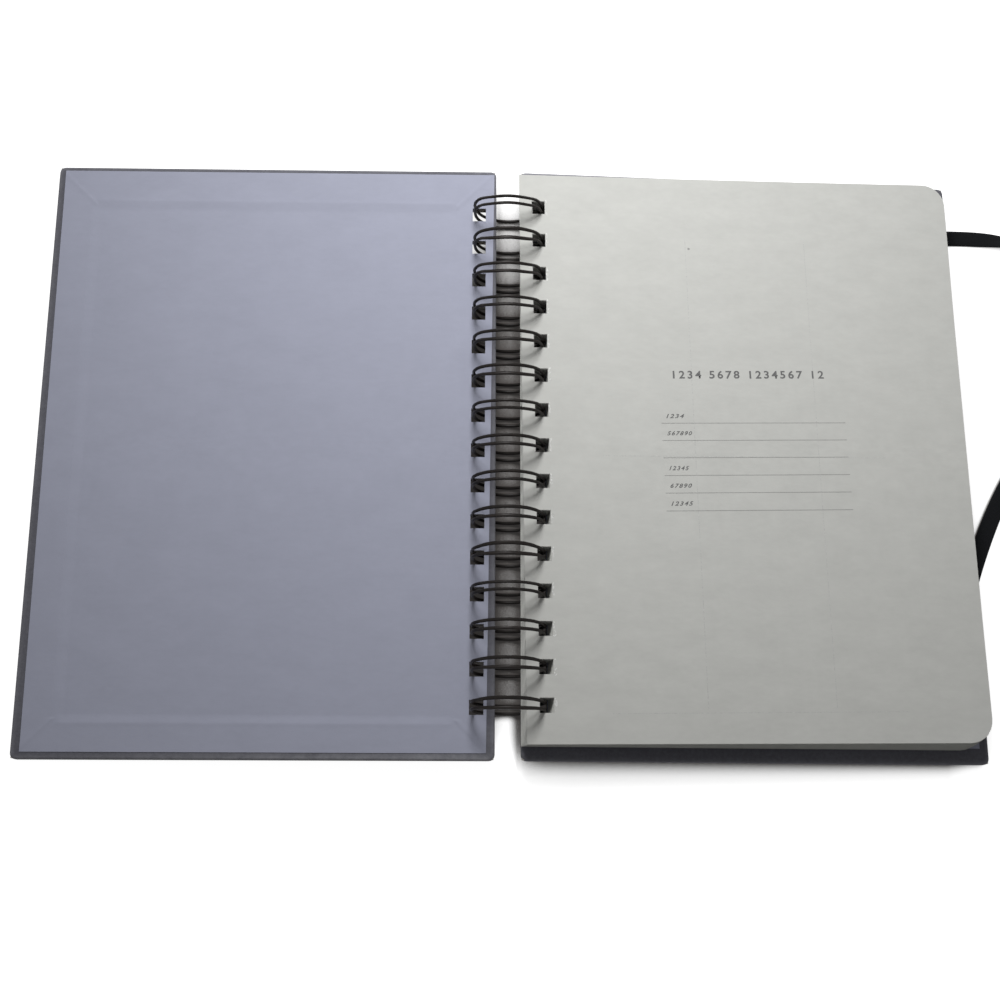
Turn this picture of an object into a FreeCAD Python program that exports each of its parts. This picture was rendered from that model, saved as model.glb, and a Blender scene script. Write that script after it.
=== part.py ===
"""A twin-loop bound planner lying open at its first page.

The spine of the book is a row of wire loops along Y. Its axis stands above the origin, at a height
that rests every loop on the table plane, z = 0. The back cover and the block of sheets lie to the
right of the loops, towards +X, and the front cover lies to the left, opened flat.

Each cover piece and the block is drawn as if the loop axis were its own X-Y origin: X is the reach
from the axis, Z is the distance above or below it. One placement per piece then swings it about the
axis until its fore edge comes down on the table, so every piece that turns keeps its true distance
from the wire. All sizes are in millimetres and live in the sheet named Sizes.
"""
import FreeCAD, Part
import math
import os

import Sketcher

# Each row of the sheet: alias, value.
SIZES = {
    # The twin-loop wire: a comb of round wire, closed into rings.
    "loop_count": 15,
    "loop_pitch": 12.7,
    "loop_outside": 25.4,
    "wire_diameter": 1.1,
    "pair_spacing": 2.6,
    "wire_bend": 1.1,
    "seam_angle": 56,
    "seam_gap": 13,
    # The punched holes, square, through covers and sheets.
    "hole_along_spine": 5.0,
    "hole_across": 4.8,
    # A cover: board, wrap turned in over its edges, and a lining over the turned-in edges.
    "cover_width": 158.75,
    "cover_length": 212.7,
    "cover_corner": 2.0,
    "board_thickness": 2.2,
    "wrap_thickness": 0.4,
    "lining_thickness": 0.2,
    "turn_in": 15.0,
    "lining_border": 2.5,
    "cover_hole_reach": 10.7,
    "cover_hole_margin": 6.2,
    "face_drop": 4.0,
    # The block of sheets.
    "page_width": 156.5,
    "page_length": 203.2,
    "page_corner": 8.0,
    "page_hole_reach": 11.0,
    "page_hole_margin": 6.7,
    "page_clearance": 0.15,
    # The closing band and the two slots that hold its ends.
    "band_width": 6.0,
    "band_thickness": 1.0,
    "band_clearance": 0.05,
    "slot_inset": 13.0,
    "slot_spacing": 174.0,
    "slot_clearance": 0.4,
}

# The band's free route on the table, from the upper slot round to the lower one, as X and Y.
BAND_ROUTE = [
    (178.0, 88.0),
    (200.0, 80.0),
    (210.0, 60.0),
    (207.0, 36.0),
    (192.0, 12.0),
    (178.0, -8.0),
    (166.6, -32.0),
    (157.5, -58.0),
]
BAND_ARC_SHARE = 0.45

# Expressions that several pieces share, all read from the sheet.
AXIS_HEIGHT = "Sizes.loop_outside / 2"
COVER_NEAR = "(Sizes.cover_hole_reach - Sizes.cover_hole_margin)"
COVER_FAR = f"({COVER_NEAR} + Sizes.cover_width)"
PAGE_NEAR = "(Sizes.page_hole_reach - Sizes.page_hole_margin)"
PAGE_FAR = f"({PAGE_NEAR} + Sizes.page_width)"
PAGE_TOP = "(Sizes.face_drop - Sizes.page_clearance)"
LINING_TOP = "(-Sizes.face_drop)"
TURN_IN_TOP = f"({LINING_TOP} - Sizes.lining_thickness)"
BOARD_TOP = f"({TURN_IN_TOP} - Sizes.wrap_thickness)"
BOARD_BOTTOM = f"({BOARD_TOP} - Sizes.board_thickness)"
COVER_BOTTOM = f"({BOARD_BOTTOM} - Sizes.wrap_thickness)"
WRAP_TOTAL = "(Sizes.board_thickness + 2 * Sizes.wrap_thickness)"
TABLE = "0"
BAND_TOP = "(Sizes.band_thickness + Sizes.band_clearance)"


def make_sheet(doc):
    """Writes the driving sizes into the sheet, one alias a row."""
    sheet = doc.addObject("Spreadsheet::Sheet", "Sizes")
    for row, (alias, value) in enumerate(SIZES.items(), start=1):
        sheet.set(f"A{row}", alias)
        sheet.set(f"B{row}", str(value))
        sheet.setAlias(f"B{row}", alias)
    doc.recompute()
    return sheet


def tilt(rest_height):
    """The angle at which a cover's fore edge comes down to rest_height, as an expression."""
    arm = f"sqrt({COVER_FAR} ^ 2 + {COVER_BOTTOM} ^ 2)"
    return f"(asin(({AXIS_HEIGHT} - {rest_height}) / {arm}) - atan(-{COVER_BOTTOM} / {COVER_FAR}))"


def swing(piece, yaw, rest_height):
    """Places a piece on the loop axis, turned by yaw and tilted to its resting slope."""
    place = f"vector(0; 0; {AXIS_HEIGHT})"
    turn = f"rotation({yaw}; {tilt(rest_height)}; 0)"
    piece.setExpression("Placement", f"placement({place}; {turn})")


def origin_plane(body, role):
    """The body's own origin plane with that role."""
    return next(feature for feature in body.Origin.OriginFeatures if feature.Role == role)


def four_sides(body, name, first_corner, level):
    """A level sketch of four joined sides, counter-clockwise from first_corner, still undriven."""
    sketch = body.newObject("Sketcher::SketchObject", name)
    sketch.AttachmentSupport = [(origin_plane(body, "XY_Plane"), "")]
    sketch.MapMode = "FlatFace"
    sketch.setExpression("AttachmentOffset.Base.z", level)
    x, y = first_corner
    points = [FreeCAD.Vector(*corner) for corner in ((x, y), (x + 1, y), (x + 1, y + 2), (x, y + 2))]
    for start, end in zip(points, points[1:] + points[:1]):
        sketch.addGeometry(Part.LineSegment(start, end), False)
    for side in range(4):
        sketch.addConstraint(Sketcher.Constraint("Coincident", side, 2, (side + 1) % 4, 1))
    sketch.addConstraint(Sketcher.Constraint("Horizontal", 0))
    sketch.addConstraint(Sketcher.Constraint("Horizontal", 2))
    sketch.addConstraint(Sketcher.Constraint("Vertical", 3))
    return sketch


def rectangle(body, name, near, far, length, level):
    """A sketch of a rectangle centred on the X axis.

    near and far are its reaches along X, length its size along Y and level the height of its plane:
    all four are expressions.
    """
    sketch = four_sides(body, name, (1, -1), level)
    sketch.addConstraint(Sketcher.Constraint("Symmetric", 1, 1, 1, 2, -1))
    drive(sketch, "near", Sketcher.Constraint("DistanceX", -1, 1, 3, 1, 1.0), near)
    drive(sketch, "far", Sketcher.Constraint("DistanceX", -1, 1, 1, 1, 2.0), far)
    drive(sketch, "length", Sketcher.Constraint("DistanceY", 1, 1, 1, 2, 2.0), length)
    return sketch


def drive(sketch, name, constraint, expression):
    """Adds a named constraint and binds it to an expression."""
    index = sketch.addConstraint(constraint)
    sketch.renameConstraint(index, name)
    sketch.setExpression(f"Constraints.{name}", expression)


def pad(body, name, near, far, length, level, height):
    """A slab that stands on a rectangle."""
    sketch = rectangle(body, f"{name}_sketch", near, far, length, level)
    feature = body.newObject("PartDesign::Pad", name)
    feature.Profile = sketch
    feature.setExpression("Length", height)
    body.Document.recompute()
    return feature


def pocket(body, name, near, far, length, level, depth):
    """A rectangular recess cut downwards from a level."""
    sketch = rectangle(body, f"{name}_sketch", near, far, length, level)
    feature = body.newObject("PartDesign::Pocket", name)
    feature.Profile = sketch
    feature.setExpression("Length", depth)
    body.Document.recompute()
    return feature


def round_corners(body, name, radius, far_only=False):
    """Rounds the upright outer corners of the body's tip: all four, or the two at the far side."""
    tip = body.Tip
    middle = tip.Shape.BoundBox.Center.x
    chosen = []
    for index, edge in enumerate(tip.Shape.Edges, start=1):
        box = edge.BoundBox
        upright = box.XLength < 0.001 and box.YLength < 0.001
        if upright and (box.Center.x > middle or not far_only):
            chosen.append(f"Edge{index}")
    feature = body.newObject("PartDesign::Fillet", name)
    feature.Base = (tip, chosen)
    feature.setExpression("Radius", radius)
    body.Document.recompute()
    return feature


def punch_row(body, name, reach, across, along, level, count, spacing):
    """Cuts a row of rectangular holes through the body, evenly spaced along Y about the X axis."""
    sketch = four_sides(body, f"{name}_sketch", (1, 1), level)
    sketch.addConstraint(Sketcher.Constraint("Vertical", 1))
    first = f"(({count} - 1) * {spacing} / 2)"
    drive(sketch, "near", Sketcher.Constraint("DistanceX", -1, 1, 0, 1, 1.0), f"{reach} - {across} / 2")
    drive(sketch, "across", Sketcher.Constraint("DistanceX", 0, 1, 0, 2, 1.0), across)
    drive(sketch, "start", Sketcher.Constraint("DistanceY", -1, 1, 0, 1, 1.0), f"{first} - {along} / 2")
    drive(sketch, "along", Sketcher.Constraint("DistanceY", 1, 1, 1, 2, 1.0), along)
    hole = body.newObject("PartDesign::Pocket", name)
    hole.Profile = sketch
    hole.Type = "ThroughAll"
    body.Document.recompute()
    row = body.newObject("PartDesign::LinearPattern", f"{name}_row")
    row.Originals = [hole]
    row.Direction = (sketch, ["V_Axis"])
    row.Reversed = True
    row.setExpression("Length", f"({count} - 1) * {spacing}")
    row.setExpression("Occurrences", count)
    body.Tip = row
    body.Document.recompute()
    return row


def new_body(doc, label):
    """An empty body whose label names its file."""
    body = doc.addObject("PartDesign::Body", label)
    body.Label = label
    return body


def punch_cover(body, level):
    """The binding holes of a cover piece."""
    punch_row(
        body, "binding_hole", "Sizes.cover_hole_reach", "Sizes.hole_across", "Sizes.hole_along_spine",
        level, "Sizes.loop_count", "Sizes.loop_pitch",
    )


def punch_slots(body, level):
    """The two slots near the fore edge that take the ends of the closing band."""
    punch_row(
        body, "band_slot", f"({COVER_FAR} - Sizes.slot_inset)",
        "(Sizes.band_thickness + 2 * Sizes.slot_clearance)",
        "(Sizes.band_width + 2 * Sizes.slot_clearance)",
        level, "2", "Sizes.slot_spacing",
    )


def make_wrap(doc, label, slotted):
    """The covering sheet: it clads the outside and the edges and turns in over the inner face."""
    body = new_body(doc, label)
    pad(body, "outside", COVER_NEAR, COVER_FAR, "Sizes.cover_length", COVER_BOTTOM, WRAP_TOTAL)
    round_corners(body, "corners", "Sizes.cover_corner")
    pocket(
        body, "board_room", f"{COVER_NEAR} + Sizes.wrap_thickness", f"{COVER_FAR} - Sizes.wrap_thickness",
        "Sizes.cover_length - 2 * Sizes.wrap_thickness", BOARD_TOP, "Sizes.board_thickness",
    )
    pocket(
        body, "turn_in_opening", f"{COVER_NEAR} + Sizes.turn_in", f"{COVER_FAR} - Sizes.turn_in",
        "Sizes.cover_length - 2 * Sizes.turn_in", TURN_IN_TOP, "Sizes.wrap_thickness",
    )
    punch_cover(body, TURN_IN_TOP)
    if slotted:
        punch_slots(body, TURN_IN_TOP)
    return body


def make_board(doc, label, slotted):
    """The stiff grey board inside the wrap."""
    body = new_body(doc, label)
    pad(
        body, "sheet", f"{COVER_NEAR} + Sizes.wrap_thickness", f"{COVER_FAR} - Sizes.wrap_thickness",
        "Sizes.cover_length - 2 * Sizes.wrap_thickness", BOARD_BOTTOM, "Sizes.board_thickness",
    )
    punch_cover(body, BOARD_TOP)
    if slotted:
        punch_slots(body, BOARD_TOP)
    return body


def make_lining(doc, label):
    """The endpaper: it lies on the turned-in edges and steps down onto the board between them."""
    body = new_body(doc, label)
    pad(
        body, "sheet", f"{COVER_NEAR} + Sizes.lining_border", f"{COVER_FAR} - Sizes.lining_border",
        "Sizes.cover_length - 2 * Sizes.lining_border", TURN_IN_TOP, "Sizes.lining_thickness",
    )
    pad(
        body, "step_down", f"{COVER_NEAR} + Sizes.turn_in", f"{COVER_FAR} - Sizes.turn_in",
        "Sizes.cover_length - 2 * Sizes.turn_in", BOARD_TOP, "Sizes.wrap_thickness",
    )
    inset = "(Sizes.turn_in + Sizes.lining_thickness)"
    pocket(
        body, "sunk_panel", f"{COVER_NEAR} + {inset}", f"{COVER_FAR} - {inset}",
        f"Sizes.cover_length - 2 * {inset}", LINING_TOP, "Sizes.wrap_thickness",
    )
    punch_cover(body, LINING_TOP)
    return body


def make_cover(doc, side, yaw, rest_height, slotted):
    """Board, wrap and lining of one cover, all swung to the same place."""
    pieces = [
        make_board(doc, f"{side}_board", slotted),
        make_wrap(doc, f"{side}_wrap", slotted),
        make_lining(doc, f"{side}_lining"),
    ]
    for piece in pieces:
        swing(piece, yaw, rest_height)
    return pieces


def make_page_block(doc):
    """All the sheets as one solid, with rounded fore corners."""
    body = new_body(doc, "page_block")
    pad(body, "sheets", PAGE_NEAR, PAGE_FAR, "Sizes.page_length", f"-{PAGE_TOP}", f"2 * {PAGE_TOP}")
    round_corners(body, "fore_corners", "Sizes.page_corner", far_only=True)
    punch_row(
        body, "binding_hole", "Sizes.page_hole_reach", "Sizes.hole_across", "Sizes.hole_along_spine",
        PAGE_TOP, "Sizes.loop_count", "Sizes.loop_pitch",
    )
    swing(body, 0, BAND_TOP)
    return body


def ring_point(radius, angle, along):
    """A point on a ring about the Y axis, angle in degrees from +X up to +Z."""
    turn = math.radians(angle)
    return FreeCAD.Vector(radius * math.cos(turn), along, radius * math.sin(turn))


def ring_direction(angle):
    """The direction in which a ring runs at an angle, towards falling angles."""
    turn = math.radians(angle)
    return FreeCAD.Vector(math.sin(turn), 0, -math.cos(turn))


def arc(start, middle, end):
    """An arc edge through three points."""
    return Part.Arc(start, middle, end).toShape()


def half_loop(sheet, side):
    """The edges of one half of a loop, from the root at half a pitch to the middle of its tip."""
    radius = (sheet.loop_outside - sheet.wire_diameter) / 2
    half = sheet.pair_spacing / 2
    bend = sheet.wire_bend
    root_angle = -sheet.seam_angle - sheet.seam_gap / 2
    tip_angle = -360 - sheet.seam_angle + sheet.seam_gap / 2
    across = FreeCAD.Vector(0, side, 0)
    back = ring_direction(root_angle) * -bend
    leave = ring_point(radius, root_angle, side * half)
    root_bend = leave + back + across * bend
    root_end = ring_point(radius, root_angle, side * sheet.loop_pitch / 2) + back
    corner_middle = leave + across * bend + (back - across * bend) * math.sqrt(0.5)
    ring_middle = ring_point(radius, (root_angle + tip_angle) / 2, side * half)
    tip = ring_point(radius, tip_angle, side * half)
    tip_middle = ring_point(radius, tip_angle, 0) + ring_direction(tip_angle) * half
    slant = ring_direction(tip_angle) * math.sqrt(0.5) + across * math.sqrt(0.5)
    tip_quarter = ring_point(radius, tip_angle, 0) + slant * half
    return [
        Part.LineSegment(root_end, root_bend).toShape(),
        arc(root_bend, corner_middle, leave),
        arc(leave, ring_middle, tip),
        arc(tip, tip_quarter, tip_middle),
    ]


def make_wire(doc, sheet):
    """The binding: one wire bent into a comb of twin loops and closed into rings."""
    edges = half_loop(sheet, 1) + half_loop(sheet, -1)[::-1]
    path = Part.Wire(edges)
    start = path.OrderedVertexes[0].Point
    outline = Part.Circle(start, FreeCAD.Vector(0, 1, 0), sheet.wire_diameter / 2)
    profile = Part.Wire(outline.toShape())
    loop = path.makePipeShell([profile], True, False)
    count = int(sheet.loop_count)
    loops = []
    for index in range(count):
        shifted = loop.copy()
        shifted.translate(FreeCAD.Vector(0, (index - (count - 1) / 2) * sheet.loop_pitch, 0))
        loops.append(shifted)
    comb = loops[0].multiFuse(loops[1:]).removeSplitter()
    if len(comb.Solids) != 1:
        raise RuntimeError("the loops don't join into one wire")
    feature = doc.addObject("Part::Feature", "twin_loop_wire")
    feature.Label = "twin_loop_wire"
    feature.Shape = comb.Solids[0]
    feature.setExpression("Placement", f"placement(vector(0; 0; {AXIS_HEIGHT}); rotation(0; 0; 0))")
    return feature


def slot_point(sheet, cover, depth):
    """The middle of the slot row at a depth below the loop axis, in the seated back cover."""
    far = sheet.cover_hole_reach - sheet.cover_hole_margin + sheet.cover_width
    return cover.Placement.multVec(FreeCAD.Vector(far - sheet.slot_inset, 0, -depth))


def rounded_route(points, share):
    """Straight runs joined by tangent arcs, each as large as its two runs allow."""
    edges = []
    start = points[0]
    for before, corner, after in zip(points, points[1:], points[2:]):
        arriving = (corner - before).normalize()
        leaving = (after - corner).normalize()
        setback = share * min((corner - before).Length, (after - corner).Length)
        turn = arriving.getAngle(leaving)
        radius = setback / math.tan(turn / 2)
        print(f"band bend at ({corner.x:.1f}, {corner.y:.1f}): radius {radius:.1f}")
        arc_start = corner - arriving * setback
        arc_end = corner + leaving * setback
        inward = (leaving - arriving).normalize()
        bulge = radius / math.cos(turn / 2) - radius
        edges.append(Part.LineSegment(start, arc_start).toShape())
        edges.append(arc(arc_start, corner + inward * bulge, arc_end))
        start = arc_end
    edges.append(Part.LineSegment(start, points[-1]).toShape())
    return Part.Wire(edges)


def make_band(doc, sheet, cover):
    """The elastic closing band: its ends rise into the slots and the rest lies slack on the table."""
    board_top = sheet.face_drop + sheet.lining_thickness + sheet.wrap_thickness
    slot = slot_point(sheet, cover, board_top + sheet.board_thickness / 2)
    tab_height = slot_point(sheet, cover, board_top).z
    middle = sheet.band_thickness / 2
    half_spacing = sheet.slot_spacing / 2
    upper = FreeCAD.Vector(slot.x - middle, half_spacing, middle)
    lower = FreeCAD.Vector(slot.x - middle, -half_spacing, middle)
    free = [FreeCAD.Vector(x, y, middle) for x, y in BAND_ROUTE]
    path = rounded_route([upper] + free + [lower], BAND_ARC_SHARE)
    side = (free[0] - upper).normalize().cross(FreeCAD.Vector(0, 0, 1)) * (sheet.band_width / 2)
    lift = FreeCAD.Vector(0, 0, middle)
    corners = [upper - side - lift, upper + side - lift, upper + side + lift, upper - side + lift]
    profile = Part.makePolygon(corners + corners[:1])
    ribbon = path.makePipeShell([profile], True, False)
    expected = path.Length * sheet.band_width * sheet.band_thickness
    print(f"band length {path.Length:.1f}, volume {ribbon.Volume:.1f} of {expected:.1f}")
    tabs = []
    for end in (upper, lower):
        corner = FreeCAD.Vector(end.x, end.y - sheet.band_width / 2, 0)
        tabs.append(Part.makeBox(sheet.band_thickness, sheet.band_width, tab_height, corner))
    feature = doc.addObject("Part::Feature", "elastic_band")
    feature.Label = "elastic_band"
    feature.Shape = ribbon.multiFuse(tabs).removeSplitter().Solids[0]
    return feature


def check_cuts(doc):
    """Every pocket and every row of holes has to take material away."""
    for cut in doc.Objects:
        if cut.TypeId not in ("PartDesign::Pocket", "PartDesign::LinearPattern"):
            continue
        before = cut.BaseFeature.Shape.Volume
        if cut.Shape.Volume > before - 0.1:
            raise RuntimeError(f"{cut.Label} cuts nothing")


def check_document(doc):
    """No object may be left invalid after the recompute."""
    for thing in doc.Objects:
        if "Invalid" in thing.State or "Error" in thing.State:
            raise RuntimeError(f"{thing.Label} failed: {thing.State}")


def check_piece(piece):
    """A piece is one valid solid."""
    shape = piece.Shape
    if shape.isNull() or not shape.isValid() or len(shape.Solids) != 1:
        raise RuntimeError(f"{piece.Label} is not one valid solid")
    box = shape.BoundBox
    print(
        f"{piece.Label}: volume {shape.Volume:.1f}, X {box.XMin:.2f} to {box.XMax:.2f}, "
        f"Y {box.YMin:.2f} to {box.YMax:.2f}, Z {box.ZMin:.2f} to {box.ZMax:.2f}"
    )


def main():
    """Builds the planner and writes each piece to its own file."""
    doc = FreeCAD.newDocument("planner")
    sheet = make_sheet(doc)
    pieces = make_cover(doc, "back", 0, BAND_TOP, slotted=True)
    pieces += make_cover(doc, "front", 180, TABLE, slotted=False)
    pieces.append(make_page_block(doc))
    pieces.append(make_wire(doc, sheet))
    doc.recompute()
    pieces.append(make_band(doc, sheet, pieces[0]))
    doc.recompute()
    check_document(doc)
    check_cuts(doc)
    os.makedirs("parts", exist_ok=True)
    for piece in pieces:
        check_piece(piece)
    for piece in pieces:
        piece.Shape.exportStep(f"parts/{piece.Label}.step")


main()
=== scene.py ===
"""Dresses the twin-loop bound planner and stands it in a plain studio.

Lengths are in metres. The loops run along Y, and their axis stands above the origin. Each cover and
the block of sheets is made flat, with X as its reach from the loop axis and Z as its height above
it, and is then swung about that axis onto the table.
"""

import logging
import math
import random
from collections.abc import Iterable
from dataclasses import dataclass
from enum import Enum

import bmesh
import bpy
from mathutils import Matrix, Vector, noise


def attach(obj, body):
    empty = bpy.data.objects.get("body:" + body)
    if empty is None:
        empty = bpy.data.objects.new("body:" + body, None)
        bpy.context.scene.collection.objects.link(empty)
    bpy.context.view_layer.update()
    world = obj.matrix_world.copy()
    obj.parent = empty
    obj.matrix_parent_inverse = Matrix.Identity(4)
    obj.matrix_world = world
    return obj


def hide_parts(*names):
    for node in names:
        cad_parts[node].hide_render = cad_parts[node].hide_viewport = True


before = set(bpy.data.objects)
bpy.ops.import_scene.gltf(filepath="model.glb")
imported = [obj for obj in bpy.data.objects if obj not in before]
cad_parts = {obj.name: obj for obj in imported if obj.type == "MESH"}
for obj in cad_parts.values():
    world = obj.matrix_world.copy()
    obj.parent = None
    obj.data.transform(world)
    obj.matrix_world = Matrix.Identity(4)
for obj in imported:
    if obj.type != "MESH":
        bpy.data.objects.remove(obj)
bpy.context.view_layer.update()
LOG = logging.getLogger("planner")

MM = 0.001
# A vertex nearer to a cutting plane than this is taken to lie on it.
HAIR = 1e-7
# Edges sharper than this are shaded as edges.
SHARP = math.radians(35)
# Past this reach, a vertex of a flat plate belongs to the fore edge.
MIDWAY = 80 * MM
# The length of one wave of the wave texture at a scale of 1.
WAVE = math.tau / 20.0


class Side(Enum):
    """Which of the two covers a piece belongs to."""

    FRONT = "front"
    BACK = "back"


@dataclass(frozen=True)
class Binding:
    """The sizes that the wire, the covers and the sheets share."""

    axis_height: float = 12.7 * MM
    loop_count: int = 15
    pitch: float = 12.7 * MM
    hole_along: float = 5.0 * MM
    hole_across: float = 4.8 * MM

    def rows(self) -> list[float]:
        """The places of the loops along Y."""
        middle = (self.loop_count - 1) / 2
        return [(index - middle) * self.pitch for index in range(self.loop_count)]

    def swing(self, side: Side, tilt: float) -> Matrix:
        """The place of a flat-made piece.

        Args:
            side: the side of the loops on which the piece lies.
            tilt: the angle by which its fore edge drops, in radians.

        Returns:
            The matrix from the flat piece to the row frame.
        """
        yaw = math.pi if side is Side.FRONT else 0.0
        lift = Matrix.Translation((0, 0, self.axis_height))
        return lift @ Matrix.Rotation(yaw, 4, "Z") @ Matrix.Rotation(tilt, 4, "Y")


BINDING = Binding()


@dataclass(frozen=True)
class CoverPlan:
    """The sizes of a cover, flat, before it is swung to its place."""

    near: float = 4.5 * MM
    far: float = 163.25 * MM
    half_length: float = 106.35 * MM
    corner: float = 2.0 * MM
    hole_reach: float = 10.7 * MM
    bottom: float = -7.2 * MM
    turn_in_top: float = -4.2 * MM
    lining_top: float = -4.0 * MM
    # The slots for the band: how far in from the fore edge, how far from the middle, the size of one,
    # and the height above the outside below which the cloth is cut.
    slot_inset: float = 13.0 * MM
    slot_reach: float = 87.0 * MM
    slot_size: tuple[float, float] = (1.8 * MM, 6.8 * MM)
    slot_height: float = 0.5 * MM

    def tilt(self, rest_height: float) -> float:
        """The angle at which the fore edge comes down to rest_height, in radians.

        Args:
            rest_height: how high its underside then lies above the table.

        Returns:
            The angle.
        """
        arm = math.hypot(self.far, self.bottom)
        drop = math.asin((BINDING.axis_height - rest_height) / arm)
        return drop - math.atan(-self.bottom / self.far)


COVER = CoverPlan()
FRONT_TILT = COVER.tilt(0.0)
# The back cover rests on the closing band.
BACK_TILT = COVER.tilt(1.05 * MM)


# --- Mesh helpers -----------------------------------------------------------------------------


def everything(bm: bmesh.types.BMesh) -> list:
    """All vertices, edges and faces of a mesh in the making."""
    return [*bm.verts, *bm.edges, *bm.faces]


def only(kind: type, parts: Iterable) -> list:
    """The parts of one kind, out of an operator's mixed result."""
    return [part for part in parts if isinstance(part, kind)]


def turn_about(x: float, y: float, angle: float) -> Matrix:
    """A turn about the upright line through a point."""
    pivot = Matrix.Translation((x, y, 0))
    return pivot @ Matrix.Rotation(angle, 4, "Z") @ pivot.inverted()


def lay_rectangle(bm: bmesh.types.BMesh, low: tuple[float, float], high: tuple[float, float],
                  level: float = 0.0) -> list[bmesh.types.BMVert]:
    """Adds one level rectangular face, looking up.

    Args:
        bm: the mesh.
        low: the corner with its smallest X and Y.
        high: the corner with its largest X and Y.
        level: its height.

    Returns:
        Its vertices.
    """
    made = bmesh.ops.create_grid(bm, x_segments=1, y_segments=1, size=0.5)
    size = Matrix.Diagonal((high[0] - low[0], high[1] - low[1], 1, 1))
    middle = Matrix.Translation(((low[0] + high[0]) / 2, (low[1] + high[1]) / 2, level))
    bmesh.ops.transform(bm, matrix=middle @ size, verts=made["verts"])
    return made["verts"]


def plate(near: float, far: float, half_length: float, level: float) -> bmesh.types.BMesh:
    """A new mesh of one level rectangle, from near to far along X and centred on Y.

    Args:
        near: its smallest X.
        far: its largest X.
        half_length: its reach to either side along Y.
        level: its height.

    Returns:
        The mesh.
    """
    bm = bmesh.new()
    lay_rectangle(bm, (near, -half_length), (far, half_length), level)
    return bm


def round_corners(bm: bmesh.types.BMesh, corners: Iterable, radius: float, steps: int) -> None:
    """Rounds the given corner vertices of a flat face.

    Args:
        bm: the mesh.
        corners: the vertices.
        radius: the radius of each corner.
        steps: how many edges make one up.
    """
    bmesh.ops.bevel(
        bm, geom=list(corners), affect="VERTICES", offset=radius, offset_type="OFFSET",
        segments=steps, profile=0.5, material=-1,
    )


def cut_lines(bm: bmesh.types.BMesh, axis: int, levels: Iterable[float]) -> None:
    """Divides the faces along planes square to an axis.

    Args:
        bm: the mesh.
        axis: 0 for X and 1 for Y.
        levels: the planes' places along it.
    """
    normal = Vector((axis == 0, axis == 1, 0))
    for level in levels:
        bmesh.ops.bisect_plane(
            bm, geom=everything(bm), dist=HAIR, plane_co=normal * level, plane_no=normal
        )


def steps_between(low: float, high: float, step: float) -> list[float]:
    """Evenly spaced levels inside a stretch, about a step apart."""
    count = max(1, round((high - low) / step))
    return [low + (high - low) * index / count for index in range(1, count)]


def punch(bm: bmesh.types.BMesh, reach: float, rows: Iterable[float], size: tuple[float, float],
          lowest: float = -1.0, highest: float = 1.0) -> None:
    """Cuts a row of rectangular holes into level faces.

    Args:
        bm: the mesh.
        reach: the X of the row.
        rows: the holes' places along Y.
        size: a hole's size along X and Y.
        lowest: faces below this height stay whole.
        highest: faces above this height stay whole.
    """
    half_x, half_y = size[0] / 2, size[1] / 2
    places = list(rows)
    cut_lines(bm, 0, (reach - half_x, reach + half_x))
    cut_lines(bm, 1, (row + edge for row in places for edge in (-half_y, half_y)))
    cut = []
    for face in bm.faces:
        middle = face.calc_center_median()
        level = lowest < middle.z < highest
        in_row = any(abs(middle.y - row) < half_y for row in places)
        if level and in_row and abs(middle.x - reach) < half_x:
            cut.append(face)
    bmesh.ops.delete(bm, geom=cut, context="FACES")


def thicken(bm: bmesh.types.BMesh, rise: float) -> None:
    """Makes a flat sheet a closed slab by raising a copy of it.

    Args:
        bm: the mesh, still flat.
        rise: how far the copy goes up.
    """
    made = bmesh.ops.extrude_face_region(bm, geom=bm.faces[:], use_keep_orig=True)
    bmesh.ops.translate(bm, verts=only(bmesh.types.BMVert, made["geom"]), vec=(0, 0, rise))
    bmesh.ops.recalc_face_normals(bm, faces=bm.faces)


def extrude_rim(bm: bmesh.types.BMesh, edges: list) -> tuple[list, list]:
    """Grows a strip of faces from an open rim, with no length as yet.

    Args:
        bm: the mesh.
        edges: the rim's edges.

    Returns:
        The new rim's vertices, and its edges.
    """
    made = bmesh.ops.extrude_edge_only(bm, edges=edges)
    verts = only(bmesh.types.BMVert, made["geom"])
    fresh = set(verts)
    grown = only(bmesh.types.BMEdge, made["geom"])
    return verts, [edge for edge in grown if all(vertex in fresh for vertex in edge.verts)]


def add_mesh(bm: bmesh.types.BMesh, mesh: bpy.types.Mesh) -> list[bmesh.types.BMVert]:
    """Adds a copy of a mesh.

    Args:
        bm: the mesh that takes it in.
        mesh: the mesh that is copied.

    Returns:
        The copy's vertices.
    """
    start = len(bm.verts)
    bm.from_mesh(mesh)
    bm.verts.ensure_lookup_table()
    return bm.verts[start:]


def settle(bm: bmesh.types.BMesh, name: str, place: Matrix, smooth: bool = True) -> bpy.types.Object:
    """Turns a finished mesh into an object of the scene.

    Args:
        bm: the mesh, which is freed.
        name: the piece's name.
        place: the matrix that takes it to the row frame.
        smooth: shade it smooth, but for its sharp edges.

    Returns:
        The object, at the origin, with its place in its mesh.
    """
    bmesh.ops.transform(bm, matrix=place, verts=bm.verts)
    mesh = bpy.data.meshes.new(name)
    bm.to_mesh(mesh)
    bm.free()
    if smooth:
        mesh.shade_smooth()
        mesh.set_sharp_from_angle(angle=SHARP)
    piece = bpy.data.objects.new(name, mesh)
    bpy.context.scene.collection.objects.link(piece)
    return piece


def smoothstep(value: float) -> float:
    """Goes gently from 0 to 1 while value does."""
    held = min(1.0, max(0.0, value))
    return held * held * (3 - 2 * held)


def risen(height: float, rise: tuple[float, float]) -> float:
    """How far a height has come up a rise, given by its start and its length in millimetres."""
    start, run = rise
    return smoothstep((height - start * MM) / (run * MM))


# --- Finishes ---------------------------------------------------------------------------------


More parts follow.
